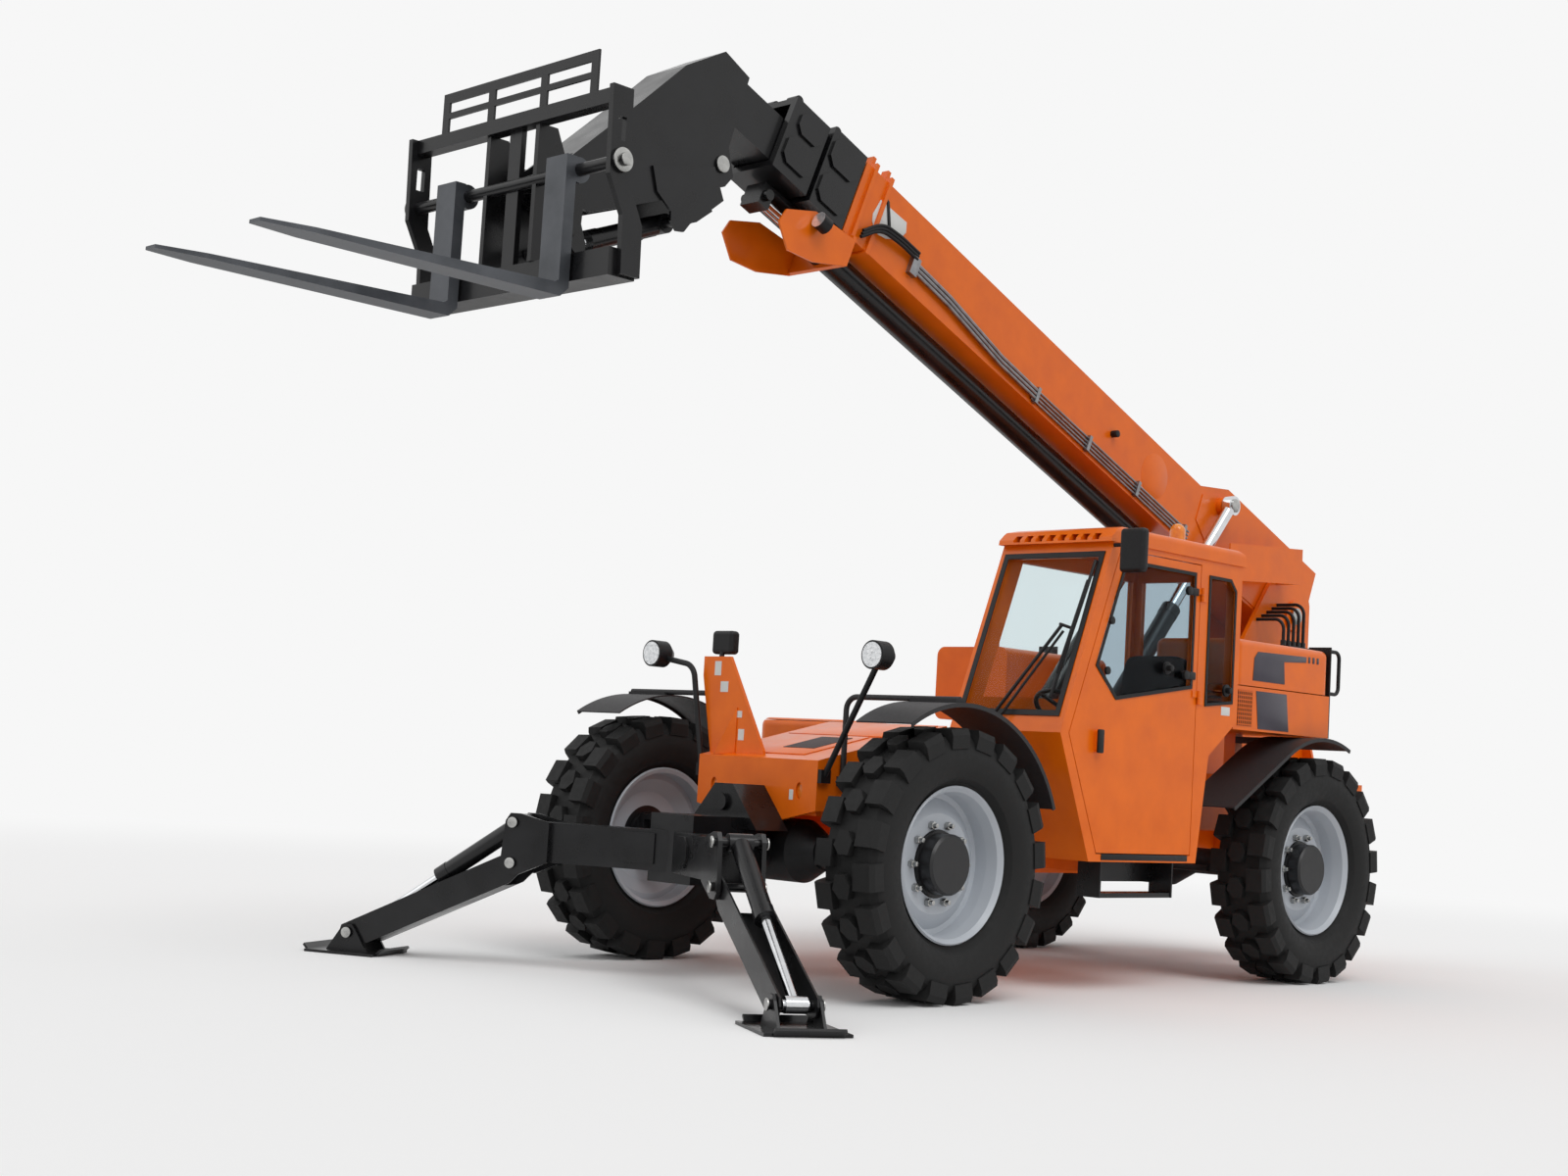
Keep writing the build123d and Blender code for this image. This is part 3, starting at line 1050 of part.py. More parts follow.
def make_carriage():
    plate = [(2210, CARRIAGE_TOP_Z), (2200, 3720), (2110, 3550), (2100, 3280), (1985, 3280), (1990, 3520)]
    plate += [(2080, 3700), (2090, CARRIAGE_TOP_Z)]
    parts = []
    for s in (-1, 1):
        y0 = BOOM_Y + s * (CARRIAGE_HALF - 30)
        y1 = BOOM_Y + s * CARRIAGE_HALF
        side = slab(plate, y0, y1)
        slot = slab([(2122, 3880), (2168, 3880), (2168, 3990), (2122, 3990)], min(y0, y1) - 1, max(y0, y1) + 1)
        parts.append(side - slot)
        ear = [(2105, 4060), (2105, 3300), (1995, 3290), (1855, 3480), (1836, 3530), (1848, 3580)]
        ear += [(1872, 3640), (1862, 3800), (1850, 3865), (1878, 3930), (1935, 3948), (2000, 3950)]
        ear += [(2050, 4060)]
        ear = slab(ear, BOOM_Y + s * EAR_IN, BOOM_Y + s * EAR_OUT)
        ear = ear - bar_y(TILT_X, TILT_Z, BOOM_Y + s * (EAR_IN - 1), BOOM_Y + s * (EAR_OUT + 1), 35 + PIN_GAP)
        parts.append(ear)
        parts.append(bar_y(ROD_EYE_X, ROD_EYE_Z, BOOM_Y + s * EAR_IN, BOOM_Y + s * 216, 46))
        parts.append(block(2105, 2160, BOOM_Y + s * EAR_IN, BOOM_Y + s * EAR_OUT, 3400, 4062))
    y0 = BOOM_Y - CARRIAGE_HALF + 30
    y1 = BOOM_Y + CARRIAGE_HALF - 30
    parts.append(block(2105, 2175, y0, y1, 4060, CARRIAGE_TOP_Z))
    parts.append(block(1990, 2150, y0, y1, CARRIAGE_BOTTOM_Z, 3400))
    parts.append(block(2112, 2142, BOOM_Y - 45, BOOM_Y + 45, 3400, 4060))
    # Guard of flats above the top bar
    x0 = 2140
    x1 = 2152
    parts.append(block(x0, x1, BOOM_Y - GUARD_HALF, BOOM_Y + GUARD_HALF, GUARD_TOP_Z - 50, GUARD_TOP_Z))
    for y in (-GUARD_HALF + 25, -200, 200, GUARD_HALF - 25):
        parts.append(block(x0, x1, BOOM_Y + y - 25, BOOM_Y + y + 25, CARRIAGE_TOP_Z, GUARD_TOP_Z))
    parts.append(block(x0, x1, BOOM_Y - GUARD_HALF, BOOM_Y + GUARD_HALF, 4210, 4240))
    # Shaft with a washer outside each side plate
    shaft_half = CARRIAGE_HALF + 40
    parts.append(bar_y(SHAFT_X, SHAFT_Z, BOOM_Y - shaft_half, BOOM_Y + shaft_half, SHAFT_RADIUS))
    for s in (-1, 1):
        parts.append(bar_y(SHAFT_X, SHAFT_Z, BOOM_Y + s * CARRIAGE_HALF, BOOM_Y + s * (CARRIAGE_HALF + 14), 56))
    return fuse(parts)


def make_forks():
    shape = [(2160, 3850), (2220, 3850), (2220, 3262), (2240, 3250), (TIP_X, FORK_BOTTOM_Z + 16)]
    shape += [(TIP_X, FORK_BOTTOM_Z), (2205, FORK_BOTTOM_Z), (2160, FORK_BOTTOM_Z + 45)]
    solids = []
    for s in (-1, 1):
        y = BOOM_Y + s * FORK_SPREAD_HALF
        half = FORK_WIDTH / 2
        fork = slab(shape, y - half, y + half)
        for t in (-1, 1):
            nick = [(TIP_X - 240, y + t * half), (TIP_X + 1, y + t * (half - 34)), (TIP_X + 1, y + t * half)]
            fork = fork - sheet(nick, FORK_BOTTOM_Z - 1, FORK_BOTTOM_Z + 80)
        sleeve = bar_y(SHAFT_X, SHAFT_Z, y - half, y + half, 60)
        fork = fuse([fork, sleeve])
        fork = fork - bar_y(SHAFT_X, SHAFT_Z, y - half - 1, y + half + 1, SHAFT_RADIUS + PIN_GAP)
        solids.append(fork)
    return group(solids)


# Outriggers: a beam with two arms in plan, legs, pads and their cylinders
LEG_SLOPE = math.degrees(math.asin((LEG_PIN_Z - PAD_PIN_Z) / LEG_LENGTH))
LEG_REACH = math.sqrt(LEG_LENGTH**2 - (LEG_PIN_Z - PAD_PIN_Z) ** 2)
LEG_CYL_LENGTH = math.dist((0, LEG_CYL_PIN_Z), (LEG_REACH, PAD_PIN_Z))
LEG_CYL_ROD_LENGTH = 700.0
ARM_LENGTH = LEG_Y / math.cos(math.radians(LEG_YAW))
CLEVIS_IN = LEG_HALF + EYE_GAP
CLEVIS_OUT = CLEVIS_IN + 22
FLANGE_TOP = 60.0
FLANGE_FOOT = -90.0


def make_outrigger_beam():
    parts = []
    parts.append(wall([(-260, 790), (260, 790), (66, 1020), (-66, 1020)], NOSE_FRONT_X, 450))
    parts.append(rod((440, 0, 925), (474, 0, 925), 46))
    parts.append(block(300, 800, -160, 160, 500, 850))
    parts.append(block(NOSE_FRONT_X, 310, -160, 160, 790, 850))
    for s in (-1, 1):
        parts.append(at_leg(block(-ARM_LENGTH, -110, -ARM_HALF, ARM_HALF, ARM_BOTTOM_Z, ARM_TOP_Z), s))
        for t in (-1, 1):
            cheek = [(-200, ARM_BOTTOM_Z), (-40, 484), (30, 484), (62, 520), (62, 560), (46, 760)]
            cheek += [(20, 800), (-40, 800), (-200, ARM_TOP_Z)]
            parts.append(at_leg(slab(cheek, t * CLEVIS_IN, t * CLEVIS_OUT), s))
            parts.append(at_leg(block(-200, -112, t * ARM_HALF, t * CLEVIS_IN, ARM_BOTTOM_Z, ARM_TOP_Z), s))
        for z in (LEG_PIN_Z, LEG_CYL_PIN_Z):
            parts.append(at_leg(bar_y(0, z, -CLEVIS_OUT - 14, CLEVIS_OUT + 14, LEG_PIN_RADIUS), s))
    # Rounded plates lapped on the front of the arms near the middle
    for s in (-1, 1):
        lap = [(-780, 590), (-610, 590), (-560, 640), (-560, 700), (-610, 745), (-780, 745)]
        parts.append(at_leg(slab(lap, -ARM_HALF - 14, -ARM_HALF), s))
    return fuse(parts)


def leg_frame(shape, side):
    return at_leg(Pos(0, 0, LEG_PIN_Z) * Rot(0, LEG_SLOPE, 0) * shape, side)


def make_leg(side):
    flange = [(-46, -40), (-14, -62), (60, FLANGE_FOOT), (940, FLANGE_FOOT), (1040, -56), (1076, -20)]
    flange += [(1076, 24), (1050, 54), (60, FLANGE_TOP), (-30, 54), (-58, 20)]
    parts = []
    for t in (-1, 1):
        parts.append(slab(flange, t * (LEG_HALF - LEG_SHEET), t * LEG_HALF))
        parts.append(bar_y(0, 0, t * (LEG_HALF - LEG_SHEET - 10), t * LEG_HALF, 44))
    inner = LEG_HALF - LEG_SHEET
    parts.append(block(95, 940, -inner, inner, FLANGE_FOOT, FLANGE_FOOT + LEG_SHEET))
    leg = fuse(parts)
    leg = leg - bar_y(0, 0, -LEG_HALF - 1, LEG_HALF + 1, LEG_PIN_RADIUS + PIN_GAP)
    leg = leg - bar_y(LEG_LENGTH, 0, -LEG_HALF - 1, LEG_HALF + 1, LEG_PIN_RADIUS + PIN_GAP)
    return leg_frame(leg, side)


def make_pad(side):
    x = LEG_REACH
    half = PAD_LENGTH / 2
    parts = [block(x - half, x + half, -PAD_WIDTH / 2, PAD_WIDTH / 2, 0, PAD_SHEET)]
    for t in (-1, 1):
        lip = [(x + t * half, 0), (x + t * half, PAD_SHEET), (x + t * (half + 26), 40), (x + t * (half + 34), 30)]
        lip += [(x + t * (half + 4), 0)]
        if t < 0:
            lip.reverse()
        parts.append(slab(lip, -PAD_WIDTH / 2 + 40, PAD_WIDTH / 2 - 40))
        ear = [(x - 120, PAD_SHEET - 2), (x + 120, PAD_SHEET - 2), (x + 42, PAD_PIN_Z + 20)]
        ear += [(x + 22, PAD_PIN_Z + 44), (x - 22, PAD_PIN_Z + 44), (x - 42, PAD_PIN_Z + 20)]
        parts.append(slab(ear, t * CLEVIS_IN, t * (CLEVIS_IN + 14)))
        parts.append(bar_y(x, PAD_PIN_Z, t * 70, t * (CLEVIS_IN + 26), LEG_PIN_RADIUS))
    return at_leg(fuse(parts), side)


def make_leg_barrel(side):
    one = cylinder_barrel(LEG_CYL_BARREL, LEG_CYL_RADIUS, LEG_CYL_RADIUS - 9, LEG_CYL_ROD_RADIUS + 1,
                          44, 60, LEG_PIN_RADIUS, 36)
    return at_leg(aim(one, (0, LEG_CYL_PIN_Z), (LEG_REACH, PAD_PIN_Z), 0), side)


def make_leg_rod(side):
    one = cylinder_rod(LEG_CYL_LENGTH, LEG_CYL_ROD_LENGTH, LEG_CYL_ROD_RADIUS, LEG_CYL_RADIUS - 10,
                       38, 50, LEG_PIN_RADIUS, 60)
    return at_leg(aim(one, (0, LEG_CYL_PIN_Z), (LEG_REACH, PAD_PIN_Z), 0), side)


# Valve block behind the cab and the hoses that loop from it to the tower
VALVE_Y = 470.0


def make_valve_block():
    tower_y = TOWER_IN_L + TOWER_PLATE
    parts = [block(-4470, -4090, tower_y, VALVE_Y + 110, 1950, 1966)]
    parts.append(block(-4450, -4120, tower_y, tower_y + 16, 1850, 1966))
    parts.append(block(-4440, -4130, VALVE_Y - 60, VALVE_Y + 90, 1960, 2120))
    for i in range(5):
        x = -4410 + i * 62
        parts.append(rod((x, VALVE_Y + 20, 2110), (x, VALVE_Y + 20, 2160), 18))
    return fuse(parts)


def make_hoses():
    tower_y = TOWER_IN_L + TOWER_PLATE
    hoses = []
    for i in range(5):
        x = -4410 + i * 62
        top = 2420 - i * 30
        run = [(x, VALVE_Y + 20, 2160), (x, VALVE_Y + 20, top), (x, tower_y, top)]
        hoses.append(tube_run(run, 11, 70))
    return group(hoses)


FRONT_X = 0.0
SIDES = ((1, "l"), (-1, "r"))


def main():
    save("frame", make_frame())
    save("nose", make_nose())
    save("counterweight", make_counterweight())
    save("front_axle", make_axle(FRONT_X, 1))
    save("rear_axle", make_axle(REAR_AXLE_X, -1))
    save("fenders", make_fenders())
    save("outrigger_beam", make_outrigger_beam())
    save("pods", make_pods())
    save("tank", make_tank())
    save("pod_lid", make_pod_lid())
    save("engine_hood", make_engine_hood())
    save("engine_block", make_engine())
    save("cab_shell", make_cab_shell())
    save("cab_roof", make_cab_roof())
    save("cab_glass", make_cab_glass())
    save("cab_interior", group([make_interior(), make_steering_wheel()]))
    save("operator_chair", make_seat())
    save("door", make_door())
    save("door_glass", make_door_glass())
    save("step", make_step())
    save("lamp_housings", make_lamp_housings())
    save("lamp_lenses", group([make_lamp_lenses(), make_beacon()]))
    save("valve_block", make_valve_block())
    save("hoses", make_hoses())
    tyre = make_tyre()
    rim = make_rim()
    for x, end in ((FRONT_X, "f"), (REAR_AXLE_X, "r")):
        for side, letter in SIDES:
            save("tyre_" + end + letter, place_wheel(tyre, x, side))
            save("rim_" + end + letter, place_wheel(rim, x, side))
            save("knuckle_" + end + letter, make_knuckle(x, side, -1 if end == "f" else 1))
    save("boom_outer", make_boom_outer())
    save("boom_lines", make_boom_lines())
    save("extend_barrel", make_extend_barrel())
    save("extend_rod", make_extend_rod())
    save("stage_2", make_stage2())
    save("stage_3", make_stage3())
    save("boom_head", make_boom_head())
    save("carriage", make_carriage())
    save("forks", make_forks())
    save("lift_barrels", make_lift_barrels())
    save("lift_rods", make_lift_rods())
    save("tilt_barrel", make_tilt_barrel())
    save("tilt_rod", make_tilt_rod())
    for side, letter in SIDES:
        save("leg_" + letter, make_leg(side))
        save("pad_" + letter, make_pad(side))
        save("leg_barrel_" + letter, make_leg_barrel(side))
        save("leg_rod_" + letter, make_leg_rod(side))


if __name__ == "__main__":
    main()
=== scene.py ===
import json
import math

import bpy
from mathutils import Matrix, Vector


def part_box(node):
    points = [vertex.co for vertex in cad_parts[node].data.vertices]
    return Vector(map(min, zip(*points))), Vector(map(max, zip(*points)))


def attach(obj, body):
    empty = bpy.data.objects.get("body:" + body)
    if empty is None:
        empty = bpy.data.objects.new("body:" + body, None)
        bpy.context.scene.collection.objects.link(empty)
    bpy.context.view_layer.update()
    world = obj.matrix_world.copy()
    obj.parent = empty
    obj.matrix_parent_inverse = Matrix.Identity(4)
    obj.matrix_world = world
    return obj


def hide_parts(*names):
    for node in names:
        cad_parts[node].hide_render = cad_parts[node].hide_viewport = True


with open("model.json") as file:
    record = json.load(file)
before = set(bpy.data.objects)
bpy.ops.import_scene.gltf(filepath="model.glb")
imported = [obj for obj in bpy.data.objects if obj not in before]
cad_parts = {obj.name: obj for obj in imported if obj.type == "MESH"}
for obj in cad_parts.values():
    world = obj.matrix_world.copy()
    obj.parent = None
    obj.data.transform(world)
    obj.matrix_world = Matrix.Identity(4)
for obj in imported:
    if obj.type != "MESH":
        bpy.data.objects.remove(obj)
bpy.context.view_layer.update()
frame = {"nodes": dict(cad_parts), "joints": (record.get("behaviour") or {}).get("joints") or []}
joints = {j["name"]: j for j in frame["joints"]}
print("frame loaded")

# places taken from the frame's own joints, in metres
pivot = Vector(joints["boom_lift"]["pos_m"])
boomDir = Vector(joints["boom_extend"]["axis"]).normalized()
boomUp = Vector((-boomDir.z, 0, boomDir.x))
frontX = joints["wheel_fl_spin"]["pos_m"][0]
rearX = joints["wheel_rl_spin"]["pos_m"][0]
boomSide = 0.180


def deselect():
    for o in bpy.context.selected_objects:
        o.select_set(False)


deselect()


# finishes
def newShader(name, colour, rough, metal=0.0):
    mat = bpy.data.materials.new(name)
    mat.use_nodes = True
    bsdf = mat.node_tree.nodes["Principled BSDF"]
    bsdf.inputs["Base Color"].default_value = (*colour, 1)
    bsdf.inputs["Roughness"].default_value = rough
    bsdf.inputs["Metallic"].default_value = metal
    return mat, mat.node_tree, bsdf


def grain(tree, bsdf, scale, low, high, bump=0.0):
    # an uneven gloss from a noise in the piece's own coordinates
    coord = tree.nodes.new("ShaderNodeTexCoord")
    noise = tree.nodes.new("ShaderNodeTexNoise")
    noise.inputs["Scale"].default_value = scale
    noise.inputs["Detail"].default_value = 4
    tree.links.new(coord.outputs["Object"], noise.inputs["Vector"])
    spread = tree.nodes.new("ShaderNodeMapRange")
    spread.inputs["From Min"].default_value = 0.3
    spread.inputs["From Max"].default_value = 0.7
    spread.inputs["To Min"].default_value = low
    spread.inputs["To Max"].default_value = high
    tree.links.new(noise.outputs["Fac"], spread.inputs["Value"])
    tree.links.new(spread.outputs["Result"], bsdf.inputs["Roughness"])
    if bump:
        node = tree.nodes.new("ShaderNodeBump")
        node.inputs["Strength"].default_value = bump
        node.inputs["Distance"].default_value = 0.002
        tree.links.new(noise.outputs["Fac"], node.inputs["Height"])
        tree.links.new(node.outputs["Normal"], bsdf.inputs["Normal"])
    return noise


def tint(tree, bsdf, noise, dark, light):
    # a slight drift of colour on the same noise
    ramp = tree.nodes.new("ShaderNodeValToRGB")
    ramp.color_ramp.elements[0].position = 0.3
    ramp.color_ramp.elements[0].color = (*dark, 1)
    ramp.color_ramp.elements[1].position = 0.7
    ramp.color_ramp.elements[1].color = (*light, 1)
    tree.links.new(noise.outputs["Fac"], ramp.inputs["Fac"])
    tree.links.new(ramp.outputs["Color"], bsdf.inputs["Base Color"])
    return ramp


def paint(name, dark, light, low, high, coat, scale=6.0, metal=0.0, bump=0.0, shine=0.3):
    # a finish that drifts from dark to light, with its gloss between low and high
    mat, tree, bsdf = newShader(name, light, low, metal)
    bsdf.inputs["Specular IOR Level"].default_value = metalShine if metal else shine
    noise = grain(tree, bsdf, scale, low, high, bump)
    tint(tree, bsdf, noise, dark, light)
    bsdf.inputs["Coat Weight"].default_value = coat
    bsdf.inputs["Coat Roughness"].default_value = coatRoughness
    return mat


metalShine = 0.5
coatRoughness = 0.12
orangePaint = paint("orange gloss paint", dark=(0.74, 0.128, 0.001), light=(0.83, 0.155, 0.002),
                    low=0.28, high=0.38, coat=0.12)
blackPaint = paint("black gloss paint", dark=(0.0045, 0.0045, 0.005), light=(0.009, 0.009, 0.01),
                   low=0.24, high=0.36, coat=0.15)
castPaint = paint("black cast housing", dark=(0.005, 0.005, 0.006), light=(0.014, 0.014, 0.015),
                  low=0.45, high=0.6, coat=0.0, scale=14, bump=0.3)
forkSteel = paint("dark fork steel", dark=(0.055, 0.06, 0.068), light=(0.105, 0.112, 0.125),
                  low=0.34, high=0.48, coat=0.1, scale=5, metal=0.45)
rimPaint = paint("grey rim paint", dark=(0.42, 0.45, 0.49), light=(0.5, 0.53, 0.57), low=0.3,
                 high=0.4, coat=0.2)
tyreRubber = paint("tyre rubber", dark=(0.006, 0.006, 0.006), light=(0.013, 0.013, 0.013), low=0.6,
                   high=0.8, coat=0.0, scale=30, bump=0.35)
fenderPlastic = paint("dark grey fender plastic", dark=(0.02, 0.019, 0.02),
                      light=(0.032, 0.031, 0.033), low=0.5, high=0.62, coat=0.0, scale=60,
                      bump=0.15)
trimPlastic = paint("black trim plastic", dark=(0.005, 0.005, 0.0055), light=(0.01, 0.01, 0.011),
                    low=0.4, high=0.55, coat=0.0, scale=70, bump=0.15)
panelGrey = paint("grey side panel film", dark=(0.052, 0.047, 0.062), light=(0.066, 0.06, 0.076),
                  low=0.35, high=0.45, coat=0.1)
chrome = paint("polished rod", dark=(0.62, 0.63, 0.65), light=(0.72, 0.73, 0.74), low=0.08,
               high=0.16, coat=0.0, scale=20, metal=1.0)
pinSteel = paint("bright pin steel", dark=(0.36, 0.36, 0.35), light=(0.52, 0.52, 0.5), low=0.24,
                 high=0.36, coat=0.0, scale=25, metal=1.0)
lineSteel = paint("plated line steel", dark=(0.22, 0.22, 0.23), light=(0.34, 0.34, 0.35), low=0.28,
                  high=0.4, coat=0.0, scale=25, metal=1.0)
hoseRubber = paint("hose rubber", dark=(0.005, 0.005, 0.006), light=(0.009, 0.009, 0.01), low=0.45,
                   high=0.6, coat=0.0, scale=40)
blankPlate = paint("blank white plate", dark=(0.62, 0.62, 0.6), light=(0.7, 0.7, 0.68), low=0.4,
                   high=0.5, coat=0.1)
amberPlate = paint("amber reflector", dark=(0.62, 0.13, 0.006), light=(0.8, 0.2, 0.01), low=0.2,
                   high=0.28, coat=0.5, scale=50)
gripPatch = paint("grit patch", dark=(0.06, 0.05, 0.05), light=(0.12, 0.1, 0.1), low=0.8, high=0.95,
                  coat=0.0, scale=180, bump=0.9)
chairCloth = paint("chair cloth", dark=(0.008, 0.008, 0.01), light=(0.016, 0.016, 0.018), low=0.85,
                   high=0.95, coat=0.0, scale=120, bump=0.4)
mirrorFace = paint("mirror face", dark=(0.8, 0.81, 0.82), light=(0.84, 0.85, 0.86), low=0.03,
                   high=0.06, coat=0.0, scale=5, metal=1.0)
redLens = paint("red lens", dark=(0.45, 0.01, 0.008), light=(0.55, 0.014, 0.01), low=0.12, high=0.2,
                coat=0.6, scale=90)
lampFace = paint("lamp reflector and lens", dark=(0.6, 0.62, 0.64), light=(0.93, 0.94, 0.95),
                 low=0.08, high=0.2, coat=0.5, scale=55, metal=0.6, bump=0.9)
amberLens = paint("amber beacon dome", dark=(0.75, 0.17, 0.005), light=(0.98, 0.36, 0.02), low=0.1,
                  high=0.2, coat=0.6, scale=22, bump=0.4)


pane = {"ior": 1.1, "scale": 5, "spread": 0.03}  # a low index, so thin panes don't bend the view


def glassFinish(name, colour, rough):
    mat, tree, bsdf = newShader(name, colour, rough)
    bsdf.inputs["Transmission Weight"].default_value = 1.0
    bsdf.inputs["IOR"].default_value = pane["ior"]
    grain(tree, bsdf, pane["scale"], rough, rough + pane["spread"])
    return mat


paneGlass = glassFinish("pale window glass", (0.84, 0.90, 0.91), 0.0)
tintGlass = glassFinish("tinted side glass", (0.42, 0.50, 0.56), 0.0)


rim = {"hub": (0.008, 0.008, 0.009, 1), "disc": (0.46, 0.49, 0.53, 1), "hubRadius": 0.169,
       "scale": 12, "low": 0.34, "high": 0.45}


def rimFinish(name, x, z):
    # black hub in the middle of a grey rim, told apart by the distance from the axle line
    mat, tree, bsdf = newShader(name, rim["disc"][:3], rim["high"])
    grain(tree, bsdf, rim["scale"], rim["low"], rim["high"])
    coord = tree.nodes.new("ShaderNodeTexCoord")
    centre = tree.nodes.new("ShaderNodeMapping")
    centre.inputs["Location"].default_value = (-x, 0, -z)
    centre.inputs["Scale"].default_value = (1, 0, 1)
    tree.links.new(coord.outputs["Object"], centre.inputs["Vector"])
    length = tree.nodes.new("ShaderNodeVectorMath")
    length.operation = "LENGTH"
    tree.links.new(centre.outputs["Vector"], length.inputs[0])
    ramp = tree.nodes.new("ShaderNodeValToRGB")
    ramp.color_ramp.interpolation = "CONSTANT"
    ramp.color_ramp.elements[0].color = rim["hub"]
    ramp.color_ramp.elements[1].position = rim["hubRadius"]
    ramp.color_ramp.elements[1].color = rim["disc"]
    tree.links.new(length.outputs["Value"], ramp.inputs["Fac"])
    tree.links.new(ramp.outputs["Color"], bsdf.inputs["Base Color"])
    return mat


finishes = {
    "frame": orangePaint, "nose": orangePaint, "counterweight": orangePaint,
    "front_axle": castPaint, "rear_axle": castPaint, "fenders": fenderPlastic,
    "outrigger_beam": blackPaint, "pods": orangePaint, "tank": orangePaint, "pod_lid": orangePaint,
    "engine_hood": orangePaint, "engine_block": castPaint, "cab_shell": orangePaint,
    "cab_roof": orangePaint, "cab_glass": paneGlass, "cab_interior": trimPlastic,
    "operator_chair": chairCloth, "door": orangePaint, "door_glass": tintGlass,
    "step": blackPaint, "lamp_housings": trimPlastic, "lamp_lenses": lampFace,
    "valve_block": blackPaint, "hoses": hoseRubber, "boom_outer": orangePaint,
    "boom_lines": lineSteel, "extend_barrel": blackPaint, "extend_rod": chrome,
    "stage_2": blackPaint, "stage_3": blackPaint, "boom_head": blackPaint,
    "carriage": blackPaint, "forks": forkSteel, "lift_barrels": blackPaint,
    "lift_rods": chrome, "tilt_barrel": blackPaint, "tilt_rod": chrome,
}
for side in ("l", "r"):
    finishes["leg_" + side] = blackPaint
    finishes["pad_" + side] = blackPaint
    finishes["leg_barrel_" + side] = blackPaint
    finishes["leg_rod_" + side] = chrome
    for end in ("f", "r"):
        finishes["tyre_" + end + side] = tyreRubber
        finishes["knuckle_" + end + side] = castPaint
for name, obj in frame["nodes"].items():
    obj.data.materials.clear()
    if name.startswith("rim_"):
        spin = joints["wheel_" + name[4:] + "_spin"]["pos_m"]
        obj.data.materials.append(rimFinish(name + " paint", spin[0], spin[2]))
    else:
        obj.data.materials.append(finishes[name])


def shareFinish(name, mats, choose):
    # a second or third finish on the faces that choose picks by place and normal
    mesh = frame["nodes"][name].data
    for mat in mats:
        mesh.materials.append(mat)
    for face in mesh.polygons:
        face.material_index = choose(face.center, face.normal)


beaconHeight = 2.5
workLamp = {"hood": 4.9, "lens": 5.18, "facing": 0.9}  # lengths along the boom from its pivot
sideGlassY = 1.15


def lensSlot(place, normal):
    if place.z > beaconHeight:
        return 2
    return 1 if place.x < rearX else 0


def lineSlot(place, normal):
    along = (place - pivot).dot(boomDir)
    if along < workLamp["hood"]:
        return 0
    return 2 if normal.dot(boomDir) > workLamp["facing"] and along > workLamp["lens"] else 1


shareFinish("lamp_lenses", [redLens, amberLens], lensSlot)
shareFinish("boom_lines", [trimPlastic, lampFace], lineSlot)
shareFinish("cab_glass", [tintGlass], lambda place, normal: 1 if place.y > sideGlassY else 0)
print("finishes set")


# makers shared by the small pieces
def settle(obj, name, mat, body, bevel=0.0, segments=2):
    # gives the piece its name, finish and body, with its place in its mesh
    obj.name = name.replace(" ", "_")
    bpy.ops.object.transform_apply(location=True, rotation=True, scale=True)
    if bevel:
        mod = obj.modifiers.new("edges", "BEVEL")
        mod.width = bevel
        mod.segments = segments
        mod.limit_method = "ANGLE"
        bpy.ops.object.modifier_apply(modifier=mod.name)
    bpy.ops.object.shade_smooth_by_angle(angle=math.radians(35))
    obj.data.materials.append(mat)
    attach(obj, body)
    deselect()
    return obj


def boxPiece(name, low, high, mat, body, bevel=0.004):
    deselect()
    middle = [(a + b) / 2 for a, b in zip(low, high)]
    bpy.ops.mesh.primitive_cube_add(size=1, location=middle)
    obj = bpy.context.active_object
    obj.scale = [abs(b - a) for a, b in zip(low, high)]
    return settle(obj, name, mat, body, bevel)


def rodPiece(name, start, end, radius, mat, body, sides=32, bevel=0.002):
    deselect()
    a, b = Vector(start), Vector(end)
    bpy.ops.mesh.primitive_cylinder_add(vertices=sides, radius=radius, depth=(b - a).length,
                                        location=(a + b) / 2)
    obj = bpy.context.active_object
    obj.rotation_mode = "QUATERNION"
    obj.rotation_quaternion = (b - a).to_track_quat("Z", "Y")
    return settle(obj, name, mat, body, bevel)


def joinAll(pieces, name):
    deselect()
    for p in pieces:
        p.select_set(True)
    bpy.context.view_layer.objects.active = pieces[0]
    bpy.ops.object.join()
    pieces[0].name = name.replace(" ", "_")
    deselect()
    return pieces[0]


def platePiece(name, corners, normal, thick, mat, body, bevel=0.001):
    # a thin plate through the given corners, standing out along its normal
    deselect()
    mesh = bpy.data.meshes.new(name)
    lift = Vector(normal).normalized() * thick
    low = [Vector(c) for c in corners]
    points = low + [c + lift for c in low]
    count = len(low)
    faces = [tuple(reversed(range(count))), tuple(range(count, 2 * count))]
    faces += [(i, (i + 1) % count, count + (i + 1) % count, count + i) for i in range(count)]
    mesh.from_pydata(points, [], faces)
    obj = bpy.data.objects.new(name, mesh)
    bpy.context.scene.collection.objects.link(obj)
    obj.select_set(True)
    bpy.context.view_layer.objects.active = obj
    bpy.ops.object.mode_set(mode="EDIT")
    bpy.ops.mesh.select_all(action="SELECT")
    bpy.ops.mesh.normals_make_consistent(inside=False)
    bpy.ops.object.mode_set(mode="OBJECT")
    return settle(obj, name, mat, body, bevel)


